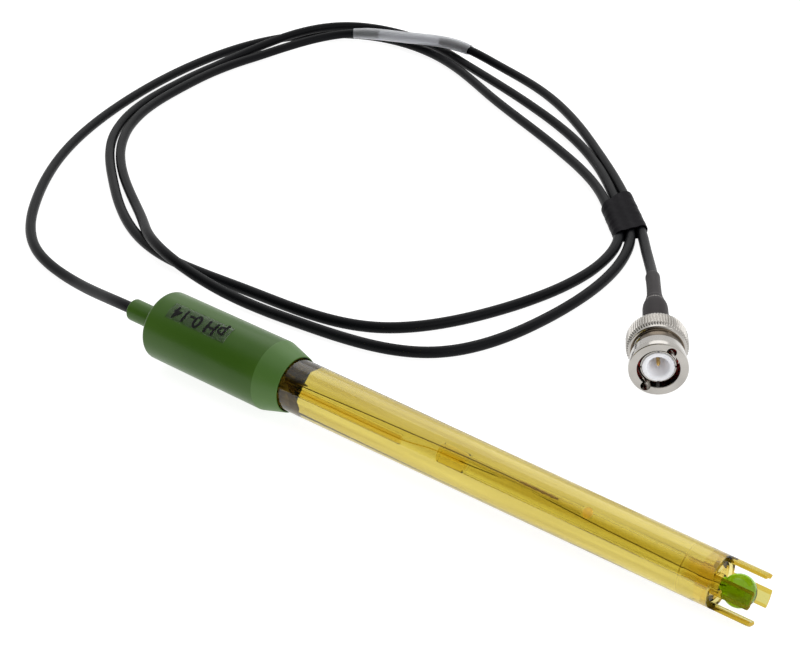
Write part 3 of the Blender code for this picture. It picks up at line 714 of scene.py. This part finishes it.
def build_marking():
    """The plain range marking printed on the film."""
    curve = bpy.data.curves.new("range_marking", "FONT")
    curve.body = "pH 0-14"
    curve.size = MARKING_SIZE * MM
    curve.extrude = MARKING_DEPTH * MM
    curve.align_x = "CENTER"
    curve.align_y = "CENTER"
    curve.offset = MARKING_BOLDNESS * MM
    writer = bpy.data.objects.new("writer", curve)
    bpy.context.scene.collection.objects.link(writer)
    bpy.context.view_layer.update()
    graph = bpy.context.evaluated_depsgraph_get()
    text = bpy.data.meshes.new_from_object(writer.evaluated_get(graph))
    bpy.data.objects.remove(writer, do_unlink=True)
    shape = bmesh.new()
    shape.from_mesh(text)
    bmesh.ops.triangulate(shape, faces=shape.faces[:])
    for _ in range(3):
        long_edges = [edge for edge in shape.edges if edge.calc_length() > 0.5 * MM]
        bmesh.ops.subdivide_edges(shape, edges=long_edges, cuts=1)
    bmesh.ops.rotate(shape, verts=shape.verts, matrix=Matrix.Rotation(math.pi, 3, "Z"))
    bmesh.ops.translate(shape, verts=shape.verts, vec=(MARKING_PLACE * MM, 0.0, 0.0))
    shape.to_mesh(text)
    shape.free()
    bent_onto_cap(text, CAP_RADIUS + 0.13)
    marking = new_object("range_marking", text, PROBE, [PRINT], "electrode")


def build_tube():
    """The amber tube: its outside meets air and its bore meets the clear gel."""
    bore = TUBE_RADIUS - WALL
    tip_bore = tube_radius(PRONG_TIP) - WALL + 0.1
    outline = [(SHELL_START, TUBE_RADIUS)]
    outline += [(x, tube_radius(x)) for x in np.linspace(0.0, PRONG_TIP - 0.3, 30)]
    outline += [(PRONG_TIP - 0.08, tube_radius(PRONG_TIP) - 0.08)]
    outline += [(PRONG_TIP, tube_radius(PRONG_TIP) - 0.3), (PRONG_TIP, tip_bore + 0.1)]
    outline += [(PRONG_TIP - 0.1, tip_bore)]
    taper = (tip_bore - bore) / PRONG_TIP
    outline += [(x, bore + taper * x) for x in np.linspace(TUBE_END, 0.0, 30)]
    outline += [(SHELL_START, bore)]
    end = TUBE_END + 0.01

    def is_bore(first, second):
        return max(first[1], second[1]) < BORE_LIMIT and max(first[0], second[0]) < end

    materials = [AMBER_OUT, AMBER_IN, AMBER_EDGE, AMBER_PRONG]
    tube = lathe("tube_shell", outline, PROBE, materials, "electrode", 128, inner=is_bore)
    half = PRONG_GAP / 2
    tools = []
    for turn in (PRONG_TURN, PRONG_TURN + 90.0):
        low = (TUBE_END, -half, -9.0)
        tools.append(box_tool(low, (PRONG_TIP + 3.0, half, 9.0), PROBE, turn))
    cut_with(tube, tools)
    for polygon in tube.data.polygons:
        centre = polygon.center / MM
        out = Vector((0.0, centre.y, centre.z)).normalized()
        if centre.x > TUBE_END - 0.05:
            polygon.material_index = 2 if abs(polygon.normal.dot(out)) < 0.5 else 3
    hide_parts("body_tube")


def offset_place(radius, angle):
    """The electrode's place moved off its axis, at an angle from its +Y towards its +Z."""
    angle = math.radians(angle)
    shift = Vector((0.0, radius * math.cos(angle), radius * math.sin(angle)))
    return PROBE @ Matrix.Translation(shift * MM)


def round_curve(name, kind, points, radius, resolution):
    """A curve with a round section and closed ends, and its one spline."""
    curve = bpy.data.curves.new(name, "CURVE")
    curve.dimensions = "3D"
    curve.bevel_depth = radius * MM
    curve.bevel_resolution = resolution
    curve.use_fill_caps = True
    spline = curve.splines.new(kind)
    spline.points.add(len(points) - 1)
    for point, position in zip(spline.points, points):
        point.co = (*(Vector(position) * MM), 1.0)
    return curve, spline


def wire(name, points, radius, place, material, node):
    """A round wire along a few points, smoothed. node is the CAD node it replaces, if any."""
    curve, spline = round_curve(name, "NURBS", points, radius, 3)
    spline.order_u = 3
    spline.use_endpoint_u = True
    spline.resolution_u = 6
    obj = new_object(name, curve, place, [material], "electrode")
    if node:
        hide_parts(node)
    return obj


def uneven_front(x, r, angle):
    """The ragged front of the cast potting, which runs forward in tongues."""
    if x < -1.0 or r < 2.0:
        return x, r
    tongues = 0.5 * math.sin(3 * angle + 0.6) + 0.3 * math.sin(7 * angle + 2.0)
    runs = max(0.0, math.sin(9 * angle + 1.0)) ** 12
    runs += 0.6 * max(0.0, math.sin(16 * angle + 2.5)) ** 12
    return x + (0.5 * tongues + 3.0 * runs) * min(1.0, r / 4.0), r


def build_potting():
    """The dark potting that closes the tube under the cap."""
    r = TUBE_RADIUS - WALL - 0.05
    outline = [(-25.6, 0.0), (-25.6, r), (-1.6, r), (-0.7, r)]
    outline += [(-0.4, r - 0.5), (-0.9, 2.6), (-1.6, 1.2), (-1.8, 0.0)]
    potting = lathe("potting_fill", outline, PROBE, [POTTING], "electrode", 180,
                    closed=False, form=uneven_front)
    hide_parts("potting")


def build_end_plug():
    """The plug that closes the tube round the stem, with the junction in its face."""
    r = tube_radius(98.0) - WALL - 0.04
    corners = [(97.6, 1.75), (97.6, r, 0.2), (100.2, r, 0.1), (100.5, r - 0.35, 0.1)]
    corners += [(101.0, r - 0.35, 0.1), (101.3, r, 0.1), (104.0, r, 0.25), (103.8, r - 0.8, 0.1)]
    corners += [(103.8, 2.3, 0.2), (104.1, 2.0, 0.1), (104.1, 1.75)]
    outline = rounded(corners, 3)

    def inside(first, second):
        return max(first[0], second[0]) < 103.5

    materials = [AMBER_PLUG, PLUG_SIDE]
    plug = lathe("end_block", outline, PROBE, materials, "electrode", 96, inner=inside)
    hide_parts("end_plug")
    place = offset_place(3.35, 96.0)
    outline = rounded([(103.2, 0.0), (103.2, 0.75, 0.1), (104.25, 0.75, 0.15), (104.25, 0.0)], 3)
    # The junction disc glows with painted light.
    felt = lathe("junction_disc", outline, place, [FELT_PAINTED_GLOW], "electrode", 32, closed=False)
    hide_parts("outer_junction")


def build_sensor():
    """The bulb on its stem, with the wire, the stopper and the coated element inside."""
    bulb_outline = arc(BULB_X, 0.0, BULB_RADIUS, 0.0, 155.0, 30)
    bulb_outline += [(BULB_X - 3.25, 1.32), (BULB_X - 3.5, 1.3), (BULB_X - 3.5, 0.0)]
    bulb = lathe("bulb_glass", bulb_outline, PROBE, [BULB_GLASS], "electrode", 96, closed=False)
    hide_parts("ph_bulb")
    end = BULB_X - 3.6
    outline = rounded([(47.0, 1.2), (47.0, 1.65, 0.1), (end, 1.65, 0.1), (end, 1.2)], 3)
    stem = lathe("stem_tube", outline, PROBE, [STEM_GLASS], "electrode", 64)
    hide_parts("glass_stem")
    corners = [(40.0, 0.5), (40.0, 1.6, 0.3), (43.0, 1.65), (46.6, 1.6, 0.2), (46.6, 0.5)]
    outline = rounded(corners, 3)
    stopper = lathe("stem_block", outline, PROBE, [BLOCK], "electrode", 48)
    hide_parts("stem_stopper")
    y, z = WIRE_SLEEVE_PLACE
    points = [(WIRES_START, y, z), (16.0, y, z), (30.5, y, z), (35.0, y / 2, z / 2)]
    points += [(39.0, 0.0, 0.0), (46.0, 0.0, 0.0)]
    wire("sensing_line", points, 0.12, PROBE, INSULATION, None)
    points = [(45.0, 0.0, 0.0), (47.5, 0.0, 0.0), (56.0, 0.1, 0.4), (57.0, 0.0, 0.6)]
    points += [(63.0, 0.1, 0.4), (70.0, 0.0, 0.2), (80.0, 0.0, -0.2), (88.0, 0.1, -0.4)]
    points += [(97.0, 0.0, -0.55), (103.0, 0.0, -0.6), (106.5, 0.0, -0.2)]
    wire("sensing_wire", points, 0.07, PROBE, WIRE, "measuring_wire")
    place = PROBE @ Matrix.Translation(Vector((0.0, y, z)) * MM)
    corners = [(WIRES_START, 0.5), (WIRES_START, 0.8), (30.5, 0.8, 0.1), (30.5, 0.5, 0.1)]
    outline = rounded(corners, 3)
    sleeve = lathe("wire_sleeving", outline, place, [SLEEVING], "electrode", 40)
    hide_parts("wire_sleeve")


def build_reference():
    """The thin reference tube beside the stem: its wire, its coated end and its inner junction."""
    place = offset_place(REFERENCE_OFFSET, REFERENCE_ANGLE)
    outline = rounded([(48.0, 0.6), (48.0, 0.75, 0.05), (74.5, 0.75, 0.05), (74.5, 0.6)], 2)
    tube = lathe("reference_glass", outline, place, [THIN_GLASS], "electrode", 32)
    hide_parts("reference_tube")
    points = [(WIRES_START, 0.52, -1.85), (12.0, 0.3, -1.25), (24.0, 0.26, -0.85)]
    points += [(34.0, 0.1, -0.5), (44.0, 0.03, -0.11), (52.0, 0.0, 0.0), (59.7, 0.0, 0.0)]
    wire("reference_line", points, 0.085, place, WIRE, "reference_wire")
    outline = [(ELEMENT_START - 0.1, 0.0)]
    for i in range(25):
        x = ELEMENT_START + ELEMENT_LENGTH * i / 24
        outline.append((x, 0.22 + 0.05 * math.sin(5.1 * i) + 0.03 * math.sin(2.3 * i)))
    outline += [(ELEMENT_START + ELEMENT_LENGTH + 0.1, 0.0)]
    # The coated end glows with painted light.
    element = lathe("coated_end", outline, place, [COATING_PAINTED_GLOW], "electrode", 24, closed=False)
    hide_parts("reference_element")
    outline = arc(BEAD_X, 0.0, BEAD_RADIUS, 180.0, 0.0, 20)
    # The bead glows with painted light.
    bead = lathe("inner_bead", outline, place, [BEAD_PAINTED_GLOW], "electrode", 32, closed=False)
    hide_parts("inner_junction")


def build_electrode():
    """The electrode from cap to bulb, and the finish of the hidden CAD pieces in its cap."""
    build_cap()
    build_tube()
    build_potting()
    build_end_plug()
    build_sensor()
    build_reference()
    dress(SHRINK, "cap_seal")
    dress(NICKEL, "cable_clamp")
    # The cable core also takes the white with its painted glow.
    dress(WHITE_PAINTED_GLOW, "cable_core")
    dress(WRAP, "core_splice", "shield_splice")


# ---------------------------------------------------------------- the lead


def build_lead():
    """The lead itself, along its whole route."""
    curve, spline = round_curve("lead_line", "POLY", LEAD_PATH, LEAD_RADIUS, 5)
    spline.use_smooth = True
    lead = new_object("lead_line", curve, Matrix.Identity(4), [JACKET], "electrode")
    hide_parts("lead")
    return lead


def wrap_section(half_width, half_height, dip, steps=14):
    """The outline of the wrap round three strands side by side, dipping between them."""
    section = []
    straight = half_width - half_height
    for side, start in ((1, -90.0), (-1, 90.0)):
        for step in range(steps):
            angle = math.radians(start + 180.0 * step / steps)
            x = side * straight + half_height * math.cos(angle)
            section.append((x, half_height * math.sin(angle)))
        for step in range(steps):
            x = side * straight * (1 - 2 * step / steps)
            fall = dip * (1 - math.cos(math.tau * x / STRAND_PITCH)) / 2
            section.append((x, side * (half_height - fall)))
    return section


def build_tie():
    """The black wrap that holds the three strands side by side, with slanting ends."""
    points = []
    outer = []
    inner = []
    angle = math.radians(TIE_HEADING)
    for step in range(31):
        share = step / 30
        along = TIE_LENGTH * (share - 0.5)
        x = TIE_MIDDLE[0] + along * math.cos(angle)
        y = TIE_MIDDLE[1] + along * math.sin(angle)
        points.append((x, y, TIE_HEIGHT))
        ripple = 0.03 * math.sin(23.0 * share) + 0.02 * math.sin(51.0 * share + 1.0)
        half_height = TIE_HALF_HEIGHT + ripple
        section = wrap_section(STRAND_PITCH + half_height, half_height, TIE_DIP + 2 * ripple)
        outer.append(section)
        inner.append(shrunk(section, TIE_WALL))
    mesh = sleeve_mesh("strand_wrap", points, outer, inner)
    along = Vector((math.cos(angle), math.sin(angle), 0.0))
    across = Vector((-math.sin(angle), math.cos(angle), 0.0))
    middle = Vector((*TIE_MIDDLE, TIE_HEIGHT))
    for vertex in mesh.vertices:
        place = vertex.co / MM - middle
        inwards = 0.5 - place.dot(across) / (2 * STRAND_PITCH + 2 * TIE_HALF_HEIGHT)
        share = place.dot(along) / TIE_LENGTH + 0.5
        slant = (1 - share) * max(0.0, 9.5 * inwards - 3.0) + share * (4.0 * inwards - 1.2)
        vertex.co += along * slant * MM
    tie = new_object("strand_wrap", mesh, Matrix.Identity(4), [WRAP], "electrode")
    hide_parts("cable_tie")
    return tie


def build_lead_pieces():
    """The clear sleeve with its paper label."""
    path = lead_stretch(SLEEVE_START, SLEEVE_FINISH)
    last = len(path) - 1
    outer = []
    for i in range(len(path)):
        end = min(i, last - i)
        narrow = 0.35 * max(0.0, 1.0 - end / 3.0)
        ripple = 0.04 * math.sin(1.9 * i) + 0.03 * math.sin(0.7 * i)
        half_width = SLEEVE_HALF_WIDTH - narrow + ripple
        half_height = SLEEVE_HALF_HEIGHT - narrow * 0.5 - ripple * 0.5
        outer.append(oval(half_width, half_height))
    inner = [shrunk(section, SLEEVE_WALL) for section in outer]
    mesh = sleeve_mesh("sleeve_skin", path, outer, inner)
    sleeve = new_object("sleeve_skin", mesh, Matrix.Identity(4), [SLEEVE_FILM], "electrode")
    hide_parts("label_sleeve")
    path = lead_stretch(LABEL_START, LABEL_FINISH)
    outer = [oval(1.75, 1.5) for _ in path]
    inner = [oval(1.66, 1.42) for _ in path]
    mesh = sleeve_mesh("paper_label", path, outer, inner)
    label = new_object("paper_label", mesh, Matrix.Identity(4), [PAPER], "electrode")
    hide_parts("id_label")
    return [sleeve, label]


# ---------------------------------------------------------------- the plug


def knurl(x, r, angle):
    """Sinks grooves between the ribs of the grip, from their slanted front ends to the rear."""
    station = -x
    if not KNURL_START < station < KNURL_END - 0.02 or r < 6.5:
        return x, r
    wave = (0.5 - 0.5 * math.cos(KNURL_RIBS * angle)) ** 1.6
    fade = min(1.0, (station - KNURL_START) / 0.5) * min(1.0, (KNURL_END - station) / 0.4)
    return x, r - KNURL_DEPTH * wave * fade


def slot_tool(index):
    """The milled path of one bayonet slot: in at the mouth, then round behind the barrel."""
    path = [(1.0, 0.0, 0.0), (-1.8, 0.0, 0.0), (-3.0, 8.0, -0.1), (-4.2, 30.0, -0.1)]
    path += [(-5.4, 58.0, 0.1), (-6.1, 84.0, 0.9), (-6.1, 104.0, 0.9)]
    points = []
    for x, turn, deeper in smooth_path(path, 5):
        angle = math.radians(SLOT_TURN + 180.0 * index - turn)
        radius = SLOT_DEPTH + deeper
        points.append(Vector((x, radius * math.cos(angle), radius * math.sin(angle))))
    shape = bmesh.new()
    rings = []
    for i, point in enumerate(points):
        along = (points[min(i + 1, len(points) - 1)] - points[max(i - 1, 0)]).normalized()
        out = Vector((0.0, point.y, point.z)).normalized()
        across = along.cross(out).normalized()
        out = across.cross(along)
        ring = []
        for k in range(TOOL_SEGMENTS):
            angle = math.tau * k / TOOL_SEGMENTS
            outwards = across * math.cos(angle) + out * math.sin(angle)
            ring.append(shape.verts.new((point + outwards * SLOT_RADIUS) * MM))
        rings.append(ring)
    for first, second in zip(rings, rings[1:]):
        for k in range(TOOL_SEGMENTS):
            following = (k + 1) % TOOL_SEGMENTS
            shape.faces.new((first[k], first[following], second[following], second[k]))
    shape.faces.new(rings[0])
    shape.faces.new(rings[-1])
    return new_object("tool", finished(shape, "tool"), PLUG, [], None)


def smooth_path(path, steps):
    """Points along a path with its corners rounded (Catmull-Rom)."""
    ends = [path[0]] + path + [path[-1]]
    fine = []
    for a, b, c, d in zip(ends, ends[1:], ends[2:], ends[3:]):
        for t in np.arange(steps) / steps:
            fine.append(tuple(
                0.5 * (2 * q + (r - p) * t + (2 * p - 5 * q + 4 * r - w) * t * t
                       + (3 * q - p - 3 * r + w) * t**3)
                for p, q, r, w in zip(a, b, c, d)
            ))
    return fine + [path[-1]]


def build_coupling():
    """The bayonet sleeve that is turned by hand: barrel, waist darkened with painted shade, bright
    ring and ribbed grip.
    """
    outline = rounded(
        [
            (0.0, SOCKET_RADIUS, 0.12),
            (0.0, BARREL_RADIUS, 0.3),
            (-1.7, BARREL_RADIUS, 0.2),
            (-1.95, 6.45, 0.2),
            (-BARREL_END, 6.3, 0.3),
            (-BARREL_END - 0.25, WAIST_RADIUS - 0.15, 0.35),
            (-WAIST_END, WAIST_RADIUS - 0.15, 0.3),
            (-WAIST_END - 0.15, 6.55, 0.15),
            (-8.3, 6.62, 0.12),
            (-8.42, 6.45),
            (-8.72, 6.48),
            (-9.25, KNURL_RADIUS, 0.15),
            (-10.5, KNURL_RADIUS),
            (-11.8, KNURL_RADIUS),
            (-KNURL_END + 0.1, KNURL_RADIUS, 0.25),
            (-KNURL_END, 6.3, 0.1),
            (-KNURL_END, 4.65, 0.1),
            (-11.3, 4.65),
            (-11.3, 5.6),
            (-8.0, 5.6),
            (-7.3, SOCKET_RADIUS, 0.3),
        ],
        4,
    )

    # The waist faces take the darker nickel, which is painted shade.
    def waist(first, second):
        return max(first[1], second[1]) < 6.3 and -8.0 < second[0] < first[0] < -4.5

    coupling = lathe("bayonet_sleeve", outline, PLUG, [NICKEL, NICKEL_PAINTED_SHADE], None, KNURL_RIBS * 7,
                     form=knurl, inner=waist, sharp=28.0)
    cut_with(coupling, [slot_tool(0), slot_tool(1)], 28.0)
    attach(coupling, "coupling")
    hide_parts("coupling_sleeve")
    return coupling


def build_contacts():
    """What is seen in the plug's mouth: the slit contact, the insulator, the pin and the gasket."""
    outline = rounded([(-1.2, 3.72, 0.05), (-1.2, 4.0, 0.1), (-7.4, 4.0), (-7.4, 3.72)], 3)
    contact = lathe("spring_contact", outline, PLUG, [NICKEL], None, 96)
    tools = [box_tool((-5.5, -0.22, -6.0), (0.5, 0.22, 6.0), PLUG, turn) for turn in (4.0, 94.0)]
    cut_with(contact, tools)
    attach(contact, "electrode")
    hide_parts("outer_contact")
    corners = [(-0.95, 2.5, 0.8), (-0.95, 3.66, 0.25), (-7.35, 3.66), (-7.35, 1.7)]
    corners += [(-14.2, 1.7), (-14.2, 0.95), (-6.6, 0.95, 0.2), (-5.6, 1.5, 0.3)]
    outline = rounded(corners, 6)
    # The insulator glows faintly: painted glow.
    insulator = lathe("white_core", outline, PLUG, [WHITE_PAINTED_GLOW], "electrode", 96)
    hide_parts("insulator")
    corners = [(-1.9, 0.0), (-1.9, 0.26, 0.15), (-2.5, 0.45, 0.2), (-7.0, 0.45)]
    corners += [(-7.0, 0.62), (-13.9, 0.62), (-13.9, 0.0)]
    outline = rounded(corners, 4)
    pin = lathe("gold_pin", outline, PLUG, [GOLD], "electrode", 48, closed=False)
    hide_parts("centre_pin")
    corners = [(-4.9, 4.06, 0.3), (-4.9, 4.74, 0.3), (-7.45, 4.74), (-7.45, 4.06)]
    outline = rounded(corners, 4)
    gasket = lathe("red_seal", outline, PLUG, [RED], "electrode", 96)
    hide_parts("gasket")
    dress(NICKEL, "plug_body", "crimp_ferrule", "retaining_ring", "thrust_washer")
    return [contact, insulator, pin, gasket]


def build_spring():
    """The wave washer behind the body's flange, on a mesh of its own; the real washer flattens as
    the sleeve is pulled forward.
    """

    def wave(x, r, angle):
        return x + SPRING_WAVE * math.cos(3 * angle), r

    outline = [(-9.65, 4.55), (-9.65, 5.4), (-9.4, 5.4), (-9.4, 4.55)]
    spring = lathe("wave_spring", outline, PLUG, [NICKEL], "electrode", 72, form=wave)
    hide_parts("wave_washer")
    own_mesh(spring)
    return spring


def build_boot():
    """The shrink boot: wide on the ferrule, ridged at its edge, narrow on the lead."""
    profile = [(17.5, 3.0), (20.0, 3.04), (24.0, 3.05), (26.5, 3.02), (27.6, 2.92), (28.6, 2.7)]
    profile += [(29.4, 2.42), (30.0, 2.3), (30.6, 2.26), (31.2, 2.1), (31.8, 1.98), (32.6, 1.93)]
    profile += [(33.4, 1.84), (34.5, 1.78), (37.0, 1.75), (40.0, 1.74), (43.0, 1.76), (44.6, 1.8)]
    profile += [(45.4, 1.78), (45.9, 1.68), (46.25, 1.56)]
    path = [plug_point(s) for s, _ in profile][::-1]
    outer = [oval(r, r, 48) for _, r in profile][::-1]
    bores = [max(LEAD_RADIUS + 0.045, r - BOOT_WALL) for _, r in profile]
    inner = [oval(r, r, 48) for r in bores][::-1]
    mesh = sleeve_mesh("shrink_boot", path, outer, inner)
    boot = new_object("shrink_boot", mesh, Matrix.Identity(4), [SHRINK], "electrode")
    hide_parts("boot")
    return boot


def build_plug():
    """The plug's pieces, which all go with the lead."""
    return [build_coupling(), build_spring(), build_boot()] + build_contacts()


# ---------------------------------------------------------------- camera, light and floor


def build_camera():
    """The camera, at the photograph's viewing angle."""
    elevation = math.radians(CAMERA_ELEVATION)
    azimuth = math.radians(CAMERA_AZIMUTH)
    right = Vector((math.cos(azimuth), math.sin(azimuth), 0.0))
    back = Vector(
        (
            math.sin(azimuth) * math.cos(elevation),
            -math.cos(azimuth) * math.cos(elevation),
            math.sin(elevation),
        )
    )
    camera = bpy.data.objects.new("camera", bpy.data.cameras.new("camera"))
    bpy.context.scene.collection.objects.link(camera)
    place = Matrix((right, back.cross(right), back)).transposed().to_4x4()
    place.translation = (Vector(CAMERA_TARGET) + back * CAMERA_DISTANCE) * MM
    camera.matrix_world = place
    camera.data.lens = CAMERA_LENS
    camera.data.sensor_width = CAMERA_SENSOR
    camera.data.clip_start = 0.01
    bpy.context.scene.camera = camera


def area_light(name, place, target, size, power):
    """A soft square light, in metres and watts."""
    light = bpy.data.lights.new(name, "AREA")
    light.shape = "SQUARE"
    light.size = size
    light.energy = power
    obj = bpy.data.objects.new(name, light)
    bpy.context.scene.collection.objects.link(obj)
    obj.location = place
    obj.rotation_euler = (Vector(target) - Vector(place)).to_track_quat("-Z", "Y").to_euler()


def build_world():
    """A light tent: white all round, with a dark opening towards the front."""
    world = bpy.data.worlds.new("studio")
    world.use_nodes = True
    tree = world.node_tree
    background = tree.nodes["Background"]
    place = tree.nodes.new("ShaderNodeTexCoord")
    aim = tree.nodes.new("ShaderNodeVectorMath")
    aim.operation = "DOT_PRODUCT"
    aim.inputs[1].default_value = OPENING
    tree.links.new(place.outputs["Generated"], aim.inputs[0])
    ramp = tree.nodes.new("ShaderNodeValToRGB")
    ramp.color_ramp.elements[0].position = OPENING_EDGE[0]
    ramp.color_ramp.elements[0].color = (1.0, 1.0, 1.0, 1.0)
    ramp.color_ramp.elements[1].position = OPENING_EDGE[1]
    ramp.color_ramp.elements[1].color = (*OPENING_COLOR, 1.0)
    tree.links.new(aim.outputs["Value"], ramp.inputs["Fac"])
    tree.links.new(ramp.outputs["Color"], background.inputs["Color"])
    background.inputs["Strength"].default_value = 1.0
    bpy.context.scene.world = world


def build_studio():
    """A white floor in a light tent, with a soft light above and behind and a weak one in front."""
    build_world()
    bpy.context.scene.view_settings.view_transform = "Standard"
    bpy.ops.mesh.primitive_plane_add(size=FLOOR_SIZE, location=(0.0, 0.0, FLOOR_HEIGHT))
    floor = bpy.context.object
    floor.name = "floor"
    nodes = Nodes("floor_white")
    nodes.set(Base_Color=(FLOOR_GREY, FLOOR_GREY, FLOOR_GREY, 1.0), Roughness=0.9)
    nodes.set(Emission_Color=(1.0, 1.0, 1.0, 1.0), Emission_Strength=FLOOR_GLOW)
    nodes.set(Specular_IOR_Level=0.0)
    floor.data.materials.append(nodes.material)
    area_light("key", *KEY_LIGHT)
    area_light("fill", *FILL_LIGHT)


build_camera()
build_studio()
build_electrode()
LEAD = build_lead()
PIECES = build_lead_pieces() + [build_tie()] + build_plug()
PLUG_NODES = ("plug_body", "crimp_ferrule", "retaining_ring", "thrust_washer")
PIECES += [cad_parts[name] for name in PLUG_NODES]
